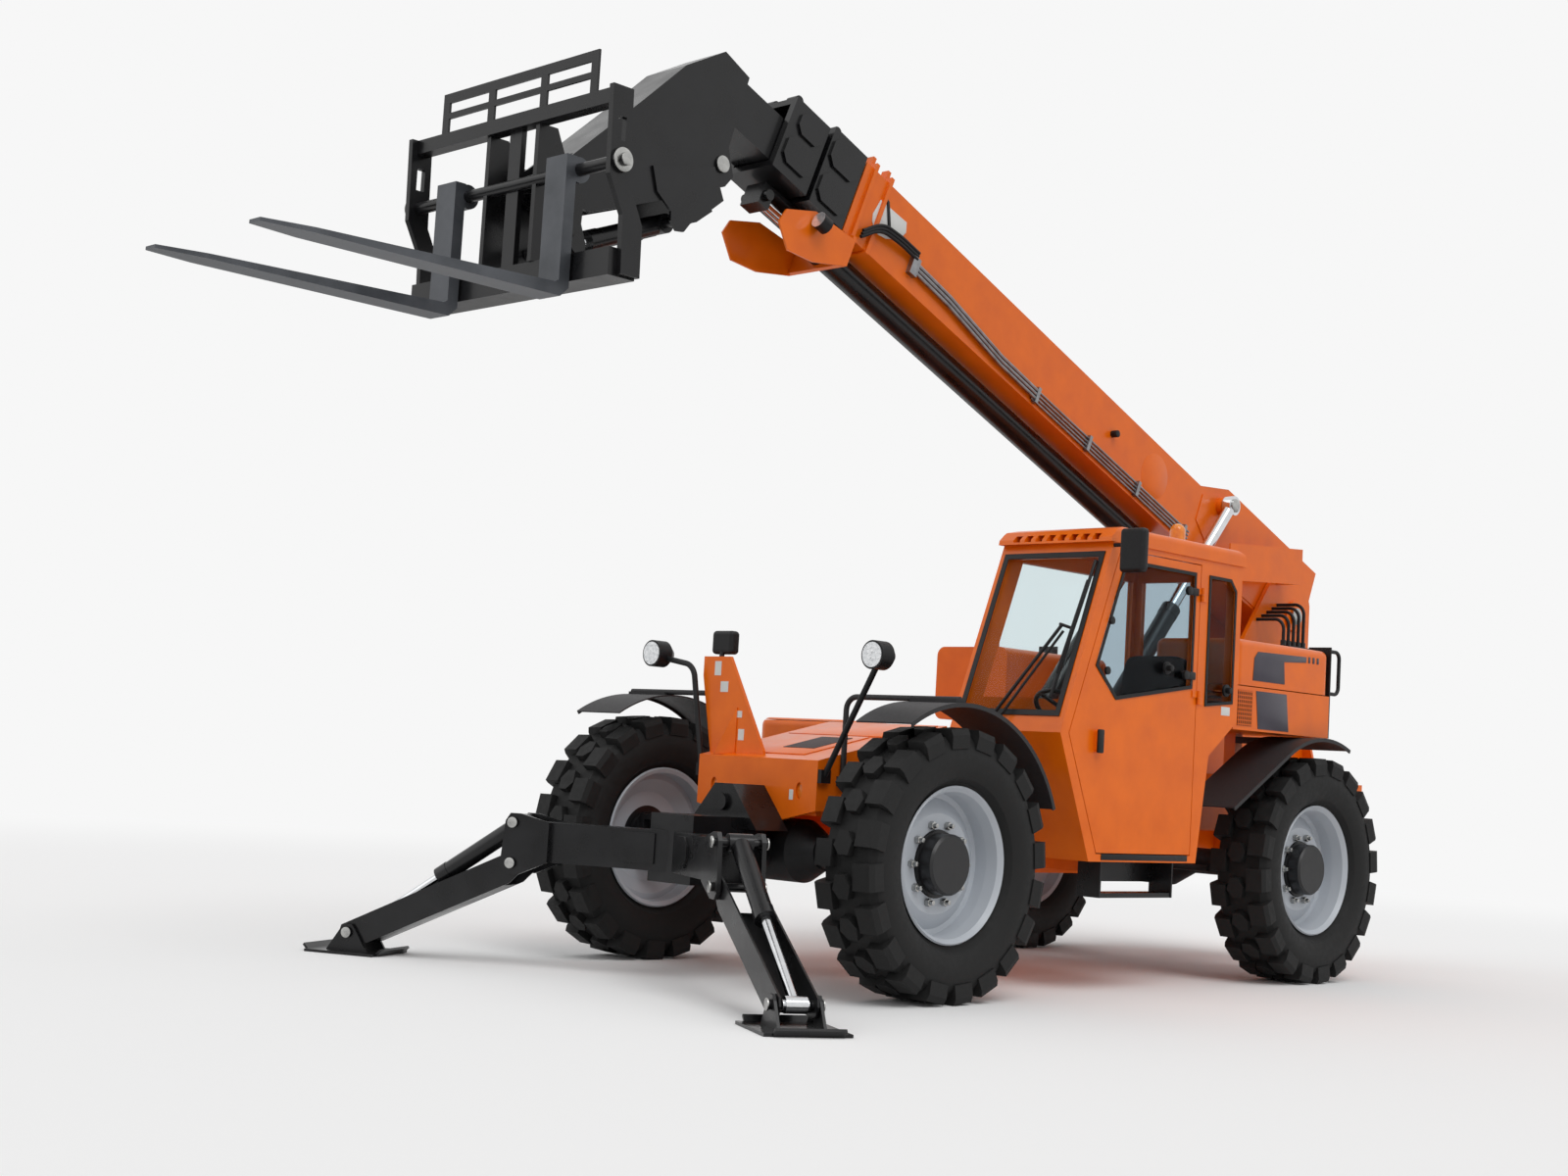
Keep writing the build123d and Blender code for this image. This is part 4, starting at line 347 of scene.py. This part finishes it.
def tubePiece(name, points, radius, mat, body):
    # a round hose or pipe through the points, turned into a mesh
    deselect()
    curve = bpy.data.curves.new(name, "CURVE")
    curve.dimensions = "3D"
    spline = curve.splines.new("BEZIER")
    spline.bezier_points.add(len(points) - 1)
    for knot, place in zip(spline.bezier_points, points):
        knot.co = place
        knot.handle_left_type = knot.handle_right_type = "AUTO"
    curve.bevel_depth = radius
    curve.bevel_resolution = 4
    curve.resolution_u = 10
    curve.use_fill_caps = True
    obj = bpy.data.objects.new(name, curve)
    bpy.context.scene.collection.objects.link(obj)
    obj.select_set(True)
    bpy.context.view_layer.objects.active = obj
    bpy.ops.object.convert(target="MESH")
    obj = bpy.context.active_object
    return settle(obj, name, mat, body)


def onBoom(u, y, w):
    return pivot + boomDir * u + boomUp * w + Vector((0, y, 0))


# wheel nuts and studs, made one by one round each hub
nuts = {"count": 10, "circle": 0.200, "radius": 0.021, "height": 0.026, "stud": 0.012,
        "studHeight": 0.046, "sunk": 0.002, "discAt": 0.018}
for corner in ("fl", "fr", "rl", "rr"):
    spin = Vector(joints["wheel_" + corner + "_spin"]["pos_m"])
    out = 1 if corner[1] == "l" else -1
    face = spin.y + out * nuts["discAt"]
    made = []
    for i in range(nuts["count"]):
        turn = math.tau * i / nuts["count"]
        x = spin.x + nuts["circle"] * math.cos(turn)
        z = spin.z + nuts["circle"] * math.sin(turn)
        made.append(rodPiece("nut", (x, face - out * nuts["sunk"], z), (x, face + out * nuts["height"], z),
                             nuts["radius"], pinSteel, "wheel_" + corner, 6, 0.002))
        made.append(rodPiece("stud", (x, face, z), (x, face + out * nuts["studHeight"], z),
                             nuts["stud"], pinSteel, "wheel_" + corner, 12, 0.001))
    joinAll(made, "wheel nuts " + corner)
print("wheel nuts made")

# cab: seals, wiper, handles and blank plates
cabSize = {"out": 1.200, "browX": -1.230, "roofZ": 2.450, "bendX": -0.830, "bendZ": 1.390}


def machine(x, y, z):
    # the machine's own x = 0 is the front axle
    return Vector((x + frontX, y, z))


def rakedX(z):
    s = cabSize
    return s["browX"] + (s["bendX"] - s["browX"]) * (s["roofZ"] - z) / (s["roofZ"] - s["bendZ"])


def sealPiece(name, corners, normal, width, thick, mat, body):
    # a closed strip round a pane, from an inset face that is then stood out
    deselect()
    mesh = bpy.data.meshes.new(name)
    mesh.from_pydata([Vector(c) for c in corners], [], [tuple(range(len(corners)))])
    obj = bpy.data.objects.new(name, mesh)
    bpy.context.scene.collection.objects.link(obj)
    obj.select_set(True)
    bpy.context.view_layer.objects.active = obj
    bpy.ops.object.mode_set(mode="EDIT")
    bpy.ops.mesh.select_mode(type="FACE")
    bpy.ops.mesh.select_all(action="SELECT")
    bpy.ops.mesh.inset(thickness=width)
    bpy.ops.mesh.delete(type="FACE")
    bpy.ops.mesh.select_all(action="SELECT")
    way = Vector(normal).normalized() * thick
    bpy.ops.mesh.extrude_region_move(TRANSFORM_OT_translate={"value": way})
    bpy.ops.mesh.select_all(action="SELECT")
    bpy.ops.mesh.normals_make_consistent(inside=False)
    bpy.ops.object.mode_set(mode="OBJECT")
    return settle(obj, name, mat, body)


windNormal = Vector((cabSize["roofZ"] - cabSize["bendZ"], 0, cabSize["bendX"] - cabSize["browX"])).normalized()
seals = {"low": 1.476, "high": 2.396, "right": 0.472, "left": 1.164, "off": 0.001,
         "wide": {"windscreen": 0.032, "door": 0.020, "quarter": 0.018},
         "thick": {"windscreen": 0.006, "door": 0.005, "quarter": 0.005}}
windEdges = ((seals["right"], seals["low"]), (seals["left"], seals["low"]),
             (seals["left"], seals["high"]), (seals["right"], seals["high"]))
windCorners = [machine(rakedX(z) + seals["off"], y, z) for y, z in windEdges]
sealPiece("windscreen seal", windCorners, windNormal, seals["wide"]["windscreen"], seals["thick"]["windscreen"],
          trimPlastic, "chassis")
doorWindow = [(-1.348, 2.366), (-1.112, 1.766), (-1.308, 1.592), (-2.038, 1.702), (-2.038, 2.366)]
doorY = cabSize["out"] + seals["off"]
sealPiece("door window seal", [machine(x, doorY, z) for x, z in doorWindow], (0, 1, 0),
          seals["wide"]["door"], seals["thick"]["door"], trimPlastic, "door")
quarter = [(-2.172, 1.610), (-2.172, 2.366), (-2.400, 2.366), (-2.462, 2.300), (-2.462, 1.640)]
sealPiece("quarter window seal", [machine(x, doorY, z) for x, z in quarter], (0, 1, 0),
          seals["wide"]["quarter"], seals["thick"]["quarter"], trimPlastic, "chassis")

# wiper rods: name, first end and last end as (y, z, how far proud of the glass), radius
wiper = {"rods": (("wiper arm", (0.734, 1.43, 0.040), (1.036, 1.96, 0.036), 0.010),
                  ("wiper stay", (0.79, 1.43, 0.040), (1.06, 1.93, 0.036), 0.008),
                  ("wiper link", (1.02, 1.97, 0.034), (1.105, 1.95, 0.022), 0.009),
                  ("wiper blade", (1.08, 1.57, 0.014), (1.125, 2.34, 0.014), 0.010),
                  ("wiper spine", (1.088, 1.70, 0.028), (1.118, 2.22, 0.028), 0.007)),
         "pivots": (0.734, 0.79), "pivotZ": 1.43, "pivotRadius": 0.020, "sunk": -0.002, "proud": 0.052}


def onWindscreen(y, z, proud):
    return machine(rakedX(z), y, z) + windNormal * proud


arm = []
for label, first, last, radius in wiper["rods"]:
    arm.append(rodPiece(label, onWindscreen(*first), onWindscreen(*last), radius, trimPlastic, "chassis", 12))
for y in wiper["pivots"]:
    arm.append(rodPiece("wiper pivot", onWindscreen(y, wiper["pivotZ"], wiper["sunk"]),
                        onWindscreen(y, wiper["pivotZ"], wiper["proud"]), wiper["pivotRadius"],
                        trimPlastic, "chassis", 24))
joinAll(arm, "windscreen wiper")

# glass hinges, latches and knobs on the side windows, all standing on the door's face
hinges = {"rows": (("upper", 2.255), ("lower", 1.775)), "rear": -2.060, "front": -1.945, "half": 0.022,
          "strap": 0.012, "buttonX": -1.960, "button": 0.018, "radius": 0.026, "bevel": 0.006}
latches = {"rows": (("upper", -1.235, 2.02), ("lower", -1.215, 1.745)), "proud": 0.014, "radius": 0.022}
knobs = {"rows": (("front", -1.78, 1.800, "door"), ("rear", -2.385, 1.715, "chassis")),
         "rose": 0.012, "roseRadius": 0.036, "grip": 0.040, "gripRadius": 0.018}
sunk = 0.001
for label, z in hinges["rows"]:
    made = [boxPiece("strap", machine(hinges["rear"], doorY - sunk, z - hinges["half"]),
                     machine(hinges["front"], doorY + hinges["strap"], z + hinges["half"]),
                     trimPlastic, "door", hinges["bevel"])]
    made.append(rodPiece("button", machine(hinges["buttonX"], doorY - sunk, z),
                         machine(hinges["buttonX"], doorY + hinges["button"], z), hinges["radius"],
                         trimPlastic, "door", 32))
    joinAll(made, "glass hinge " + label)
for label, x, z in latches["rows"]:
    rodPiece("glass latch " + label, machine(x, doorY - sunk, z), machine(x, doorY + latches["proud"], z),
             latches["radius"], trimPlastic, "door", 32)
for label, x, z, body in knobs["rows"]:
    made = [rodPiece("rose", machine(x, doorY - sunk, z), machine(x, doorY + knobs["rose"], z),
                     knobs["roseRadius"], trimPlastic, body, 32)]
    made.append(rodPiece("grip", machine(x, doorY, z), machine(x, doorY + knobs["grip"], z),
                         knobs["gripRadius"], trimPlastic, body, 24))
    joinAll(made, "window knob " + label)
# door handle's cover and the plates: name, low corner, high corner, finish, body, bevel
cabPlates = (("door handle cover", (-1.176, 1.222, 1.296), (-1.124, 1.238, 1.424), trimPlastic, "door", 0.007),
             ("blank cab plate", (-2.440, 1.1995, 1.570), (-2.350, 1.2015, 1.620), blankPlate, "chassis", 0.001),
             ("blank foot plate", (-2.060, 1.1995, 0.725), (-1.240, 1.204, 0.757), trimPlastic, "chassis", 0.001))
for label, low, high, mat, body, bevel in cabPlates:
    boxPiece(label, machine(*low), machine(*high), mat, body, bevel)
print("cab trim made")

# operator's chair: the CAD block is replaced by two crowned cushions
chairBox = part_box("operator_chair")
chair = {"seatX": 0.08, "seatThick": 0.125, "backX": (0.035, 0.155), "backIn": 0.02, "backZ": 0.11,
         "lean": -8}


def cushion(name, low, high, lean):
    deselect()
    middle = [(a + b) / 2 for a, b in zip(low, high)]
    bpy.ops.mesh.primitive_cube_add(size=1, location=middle)
    obj = bpy.context.active_object
    obj.scale = [abs(b - a) for a, b in zip(low, high)]
    bpy.ops.object.transform_apply(location=False, rotation=False, scale=True)
    bpy.ops.object.mode_set(mode="EDIT")
    bpy.ops.mesh.select_all(action="SELECT")
    bpy.ops.mesh.subdivide(number_cuts=3)
    bpy.ops.object.mode_set(mode="OBJECT")
    mod = obj.modifiers.new("soft", "SUBSURF")
    mod.levels = mod.render_levels = 2
    bpy.ops.object.modifier_apply(modifier=mod.name)
    obj.rotation_euler = (0, lean, 0)
    return settle(obj, name, chairCloth, "chassis")


lo, hi = chairBox
seatCushion = cushion("chair cushion", (lo.x + chair["seatX"], lo.y, lo.z),
                      (hi.x, hi.y, lo.z + chair["seatThick"]), 0)
backCushion = cushion("chair back", (lo.x + chair["backX"][0], lo.y + chair["backIn"], lo.z + chair["backZ"]),
                      (lo.x + chair["backX"][1], hi.y - chair["backIn"], hi.z), math.radians(chair["lean"]))
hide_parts("operator_chair")
print("chair made")

# boom: angle dial, round boss, plug, cylinder and head pins
shield = [(4.77, 0.165), (4.535, 0.175), (4.515, 0.120), (4.535, 0.075), (4.578, 0.035), (4.640, -0.005),
          (4.700, -0.020), (4.745, -0.012), (4.778, 0.020), (4.790, 0.060)]
needle = [(4.735, 0.195), (4.711, 0.190), (4.636, 0.062), (4.654, 0.052)]
dial = {"thick": 0.004, "needleThick": 0.008}
boss = {"u": 1.818, "w": 0.086, "radius": 0.145, "proud": 0.0012, "sides": 96, "bevel": 0.001}
plug = {"u": 2.33, "w": 0.097, "radius": 0.022, "proud": 0.045, "sides": 24}
platePiece("angle dial", [onBoom(u, boomSide, w) for u, w in shield], (0, 1, 0), dial["thick"], blankPlate, "boom")
platePiece("dial pendulum", [onBoom(u, boomSide + dial["thick"], w) for u, w in needle], (0, 1, 0),
           dial["needleThick"], trimPlastic, "boom")
rodPiece("side boss", onBoom(boss["u"], boomSide - sunk, boss["w"]),
         onBoom(boss["u"], boomSide + boss["proud"], boss["w"]), boss["radius"], orangePaint, "boom",
         boss["sides"], boss["bevel"])
rodPiece("side plug", onBoom(plug["u"], boomSide - sunk, plug["w"]),
         onBoom(plug["u"], boomSide + plug["proud"], plug["w"]), plug["radius"], trimPlastic, "boom",
         plug["sides"])
# caps on the boom's pins: half the pin's length, how far the cap stands out, radius, sides
pins = {"lift": (0.2985, 0.0095, 0.044, 32), "pivot": (0.244, 0.014, 0.058, 40),
        "head": (0.158, 0.008, 0.044, 32), "tilt": (0.194, 0.008, 0.042, 32)}
pinPlaces = {"lift": (onBoom(1.075, 0, 0.275), "lift_rods"), "pivot": (pivot, "chassis"),
             "head": (onBoom(5.836, 0, -0.352), "boom_head"),
             "tilt": (Vector(joints["carriage_tilt"]["pos_m"]), "boom_head")}
for s in (-1, 1):
    for label, (half, proud, radius, sides) in pins.items():
        place, body = pinPlaces[label]
        cap = place + Vector((0, s * half, 0))
        rodPiece(label + " pin cap " + ("left" if s > 0 else "right"), cap, cap + Vector((0, s * proud, 0)),
                 radius, pinSteel, body, sides)
print("boom pins made")

# outriggers: caps on the pins
caps = {"beam": 0.134, "pad": 0.124, "proud": 0.008, "radius": 0.028}
for letter in ("l", "r"):
    fold = joints["leg_" + letter + "_fold"]
    swing = joints["leg_barrel_" + letter + "_swing"]
    foot = joints["pad_" + letter + "_tilt"]
    for part, joint, half, body in (("leg pin", fold, caps["beam"], "chassis"),
                                    ("cylinder pin", swing, caps["beam"], "chassis"),
                                    ("pad pin", foot, caps["pad"], "pad_" + letter)):
        place = Vector(joint["pos_m"])
        way = Vector(joint["axis"]).normalized()
        for s in (-1, 1):
            rodPiece(part + " cap " + letter + ("a" if s > 0 else "b"), place + way * s * half,
                     place + way * s * (half + caps["proud"]), caps["radius"], pinSteel, body, 32)
print("outrigger pins made")

# fork shaft's bright washers
shaft = {"x": 2.140, "z": 3.790, "y": 0.060, "thick": 0.006,
         "rows": (("shaft end ", 0.821, 0.031, 32), ("shaft washer ", 0.7945, 0.056, 40))}
for s in (-1, 1):
    for label, out, radius, sides in shaft["rows"]:
        at = machine(shaft["x"], shaft["y"] + s * out, shaft["z"])
        rodPiece(label + ("left" if s > 0 else "right"), at, at + Vector((0, s * shaft["thick"], 0)), radius,
                 pinSteel, "carriage", sides)

# grey side panels, ticks and vent mesh on the left pod
podFace = 1.150
upperPanel = [(-2.752, 1.800), (-3.110, 1.800), (-3.095, 1.935), (-3.350, 1.950), (-3.350, 1.985), (-2.800, 1.975),
              (-2.762, 1.935)]
lowerPanel = [(-2.795, 1.740), (-3.137, 1.740), (-3.172, 1.515), (-2.828, 1.515)]
film = 0.003
platePiece("upper side panel", [machine(x, podFace, z) for x, z in upperPanel], (0, 1, 0), film, panelGrey, "pod_lid")
platePiece("lower side panel", [machine(x, podFace, z) for x, z in lowerPanel], (0, 1, 0), film, panelGrey, "chassis")
ticks = {"fronts": (-3.375, -3.425, -3.475), "wide": 0.022, "low": 1.950, "high": 1.988}
for i, x in enumerate(ticks["fronts"]):
    boxPiece("side tick %d" % i, machine(x - ticks["wide"], podFace, ticks["low"]),
             machine(x, podFace + film, ticks["high"]), panelGrey, "pod_lid", 0.001)
vent = {"rear": -2.760, "front": -2.600, "low": 1.525, "high": 1.735, "back": 0.002, "from": 0.001, "to": 0.005,
        "rows": 9, "rowLow": 1.530, "rowStep": 0.0245, "rowHigh": 0.008,
        "columns": 8, "columnFront": -2.606, "columnStep": 0.0205, "columnWide": 0.006}
# the black sheet behind the bars is painted shade, standing for the dark inside of the vent
ventParts = [boxPiece("painted shade behind mesh", machine(vent["rear"], podFace, vent["low"]),
                      machine(vent["front"], podFace + vent["back"], vent["high"]), trimPlastic, "chassis", 0.0)]
for i in range(vent["rows"]):
    z = vent["rowLow"] + i * vent["rowStep"]
    ventParts.append(boxPiece("mesh bar", machine(vent["rear"], podFace + vent["from"], z),
                              machine(vent["front"], podFace + vent["to"], z + vent["rowHigh"]),
                              orangePaint, "chassis", 0.0))
for i in range(vent["columns"]):
    x = vent["columnFront"] - i * vent["columnStep"]
    ventParts.append(boxPiece("mesh bar", machine(x - vent["columnWide"], podFace + vent["from"], vent["low"]),
                              machine(x, podFace + vent["to"], vent["high"]), orangePaint, "chassis", 0.0))
joinAll(ventParts, "pod vent mesh")

# nose: hood panel with its grit patch, post gusset and blank plates
deck = {"rise": 0.2305, "frontX": 0.215, "frontZ": 1.166, "panel": 0.005, "grit": 0.003}
deckNormal = Vector((deck["rise"], 0, 1)).normalized()


def onDeck(x, y):
    return machine(x, y, deck["frontZ"] + (deck["frontX"] - x) * deck["rise"])


hoodPanel = ((0.105, -0.400), (0.105, 0.240), (-0.400, 0.240), (-0.400, -0.400))
gritPatch = ((-0.040, -0.060), (-0.040, 0.170), (-0.340, 0.170), (-0.340, -0.060))
rearPanel = ((-0.420, -0.400), (-0.420, 0.400), (-0.780, 0.400), (-0.780, -0.400))
gusset = {"corners": ((0.149, -0.240, 1.176), (0.149, -0.240, 1.430), (0.206, -0.345, 1.172)),
          "normal": (0.87, 0.49, 0), "thick": 0.008}
platePiece("hood panel", [onDeck(x, y) for x, y in hoodPanel], deckNormal, deck["panel"], orangePaint, "chassis", 0.002)
platePiece("hood grit patch", [onDeck(x, y) + deckNormal * deck["panel"] for x, y in gritPatch], deckNormal,
           deck["grit"], gripPatch, "chassis", 0.001)
platePiece("rear hood panel", [onDeck(x, y) for x, y in rearPanel], deckNormal, deck["panel"], orangePaint,
           "chassis", 0.002)
platePiece("post gusset", [machine(*c) for c in gusset["corners"]], gusset["normal"], gusset["thick"],
           orangePaint, "chassis", 0.001)
# blank plates: name, y, z, width, height
postPlates = {"x": (0.1495, 0.1515),
              "rows": (("one", -0.410, 1.640, 0.050, 0.078), ("two", -0.352, 1.540, 0.060, 0.058),
                       ("three", -0.222, 1.392, 0.040, 0.036), ("four", -0.200, 1.282, 0.044, 0.060))}
for label, y, z, wide, high in postPlates["rows"]:
    boxPiece("post plate " + label, machine(postPlates["x"][0], y - wide / 2, z - high / 2),
             machine(postPlates["x"][1], y + wide / 2, z + high / 2), blankPlate, "chassis", 0.0)
nosePlates = {"x": (0.2145, 0.2165), "half": 0.014, "low": 0.955, "high": 1.008,
              "rows": (("right", -0.292), ("left", 0.266))}
for label, y in nosePlates["rows"]:
    boxPiece("nose plate " + label, machine(nosePlates["x"][0], y - nosePlates["half"], nosePlates["low"]),
             machine(nosePlates["x"][1], y + nosePlates["half"], nosePlates["high"]), blankPlate, "chassis", 0.0)
# amber reflectors on the nose and red lenses at the tail
reflector = {"x": 0.200, "y": 0.320, "z": 1.003, "thick": 0.006, "wide": 0.046, "high": 0.084}
tail = {"x": -3.710, "y": 1.055, "rows": ((1.850, " low"), (1.975, " high")), "thick": 0.010, "radius": 0.048}
for s in (-1, 1):
    sideName = "left" if s > 0 else "right"
    deselect()
    bpy.ops.mesh.primitive_cylinder_add(vertices=48, radius=0.5, depth=1, rotation=(0, math.pi / 2, 0),
                                        location=machine(reflector["x"], s * reflector["y"], reflector["z"]))
    plate = bpy.context.active_object
    bpy.ops.object.transform_apply(location=False, rotation=True, scale=False)
    plate.scale = (reflector["thick"], reflector["wide"], reflector["high"])
    settle(plate, "nose reflector " + sideName, amberPlate, "chassis", 0.001)
    for z, level in tail["rows"]:
        lens = machine(tail["x"], s * tail["y"], z)
        rodPiece("tail lens " + sideName + level, lens, lens - Vector((tail["thick"], 0, 0)), tail["radius"],
                 redLens, "chassis", 40)
# faces of the two mirrors
mirrors = (("mirror glass on the cab", (-1.2345, 1.295, 2.295), (-1.2325, 1.415, 2.495)),
           ("mirror glass on the post", (0.0575, -0.485, 1.735), (0.0595, -0.355, 1.835)))
for label, low, high in mirrors:
    boxPiece(label, machine(*low), machine(*high), mirrorFace, "chassis", 0.0)
print("trim made")

# hoses on the boom's left side
# knots as (along the boom, out from its side, up across the boom), a step between the hoses
frontHoses = {"knots": ((4.39, 0.028, 0.02), (4.62, 0.045, 0.00), (4.72, 0.040, -0.02), (4.84, 0.030, -0.13)),
              "count": 3, "step": 0.02, "radius": 0.010}
boomHoses = []
for i in range(frontHoses["count"]):
    run = [onBoom(u, boomSide + out, w + i * frontHoses["step"]) for u, out, w in frontHoses["knots"]]
    boomHoses.append(tubePiece("boom hose", run, frontHoses["radius"], hoseRubber, "boom"))
joinAll(boomHoses, "boom front hoses")
print("hoses made")

# stage, light and camera
deselect()
bpy.ops.mesh.primitive_plane_add(size=120, location=(0, 0, -0.001))
floor = bpy.context.active_object
floor.name = "pale floor"
backdrop = {"white": (0.93, 0.93, 0.93, 1), "floor": (0.90, 0.90, 0.90), "rough": 0.95,
            "clear": 9.0, "gone": 17.0, "world": 0.62}
floorMat, floorTree, floorShader = newShader("pale floor", backdrop["floor"], backdrop["rough"])
floorShader.inputs["Specular IOR Level"].default_value = 0.0
floor.data.materials.append(floorMat)
# far from the object the floor turns into the backdrop, so that no horizon shows
coord = floorTree.nodes.new("ShaderNodeTexCoord")
length = floorTree.nodes.new("ShaderNodeVectorMath")
length.operation = "LENGTH"
floorTree.links.new(coord.outputs["Object"], length.inputs[0])
fade = floorTree.nodes.new("ShaderNodeMapRange")
fade.interpolation_type = "SMOOTHSTEP"
fade.inputs["From Min"].default_value = backdrop["clear"]
fade.inputs["From Max"].default_value = backdrop["gone"]
floorTree.links.new(length.outputs["Value"], fade.inputs["Value"])
glow = floorTree.nodes.new("ShaderNodeEmission")
glow.inputs["Color"].default_value = backdrop["white"]
floorPath = floorTree.nodes.new("ShaderNodeLightPath")
seenGlow = floorTree.nodes.new("ShaderNodeMath")
seenGlow.operation = "MAXIMUM"
floorTree.links.new(floorPath.outputs["Is Camera Ray"], seenGlow.inputs[0])
floorTree.links.new(floorPath.outputs["Is Transmission Ray"], seenGlow.inputs[1])
floorTree.links.new(seenGlow.outputs["Value"], glow.inputs["Strength"])
blend = floorTree.nodes.new("ShaderNodeMixShader")
floorTree.links.new(fade.outputs["Result"], blend.inputs["Fac"])
floorTree.links.new(floorShader.outputs["BSDF"], blend.inputs[1])
floorTree.links.new(glow.outputs["Emission"], blend.inputs[2])
floorTree.links.new(blend.outputs["Shader"], floorTree.nodes["Material Output"].inputs["Surface"])

world = bpy.data.worlds.new("studio")
bpy.context.scene.world = world
world.use_nodes = True
tree = world.node_tree
shade = tree.nodes["Background"]
shade.inputs["Color"].default_value = (1, 1, 1, 1)
shade.inputs["Strength"].default_value = backdrop["world"]
seen = tree.nodes.new("ShaderNodeBackground")
seen.inputs["Color"].default_value = backdrop["white"]
path = tree.nodes.new("ShaderNodeLightPath")
straight = tree.nodes.new("ShaderNodeMath")
straight.operation = "MAXIMUM"
tree.links.new(path.outputs["Is Camera Ray"], straight.inputs[0])
tree.links.new(path.outputs["Is Glossy Ray"], straight.inputs[1])
through = tree.nodes.new("ShaderNodeMath")
through.operation = "MAXIMUM"
tree.links.new(straight.outputs["Value"], through.inputs[0])
tree.links.new(path.outputs["Is Transmission Ray"], through.inputs[1])
mix = tree.nodes.new("ShaderNodeMixShader")
tree.links.new(through.outputs["Value"], mix.inputs["Fac"])
tree.links.new(shade.outputs["Background"], mix.inputs[1])
tree.links.new(seen.outputs["Background"], mix.inputs[2])
tree.links.new(mix.outputs["Shader"], tree.nodes["World Output"].inputs["Surface"])


def lamp(name, way, spread, power):
    data = bpy.data.lights.new(name, "SUN")
    data.angle = math.radians(spread)
    data.energy = power
    obj = bpy.data.objects.new(name, data)
    bpy.context.scene.collection.objects.link(obj)
    obj.rotation_euler = Vector(way).to_track_quat("Z", "Y").to_euler()


# each lamp's way to the light, spread in degrees and power
lamps = {"key light": ((0.35, 0.9, 1.3), 35, 1.05), "fill light": ((0.9, -0.5, 0.8), 50, 0.35)}
for label, (way, spread, power) in lamps.items():
    lamp(label, way, spread, power)

cameraSetup = {"place": (8.1521, 7.9758, 1.1189), "yaw": -2.3616, "pitch": 0.0847, "roll": 0.0594, "focal": 2154.28,
               "imageWidth": 1600, "sensor": 36.0}
c = cameraSetup
data = bpy.data.cameras.new("camera")
data.sensor_width = c["sensor"]
data.lens = c["focal"] / c["imageWidth"] * c["sensor"]
data.clip_end = 300
camera = bpy.data.objects.new("camera", data)
bpy.context.scene.collection.objects.link(camera)
forward = Vector((math.cos(c["yaw"]) * math.cos(c["pitch"]), math.sin(c["yaw"]) * math.cos(c["pitch"]),
                  math.sin(c["pitch"])))
right = Vector((math.sin(c["yaw"]), -math.cos(c["yaw"]), 0))
up = right.cross(forward)
turnedRight = right * math.cos(c["roll"]) + up * math.sin(c["roll"])
turnedUp = -right * math.sin(c["roll"]) + up * math.cos(c["roll"])
turn = Matrix((turnedRight, turnedUp, -forward)).transposed()
camera.matrix_world = Matrix.Translation(machine(*c["place"])) @ turn.to_4x4()
bpy.context.scene.camera = camera
bpy.context.scene.view_settings.view_transform = "Standard"
print("stage set")
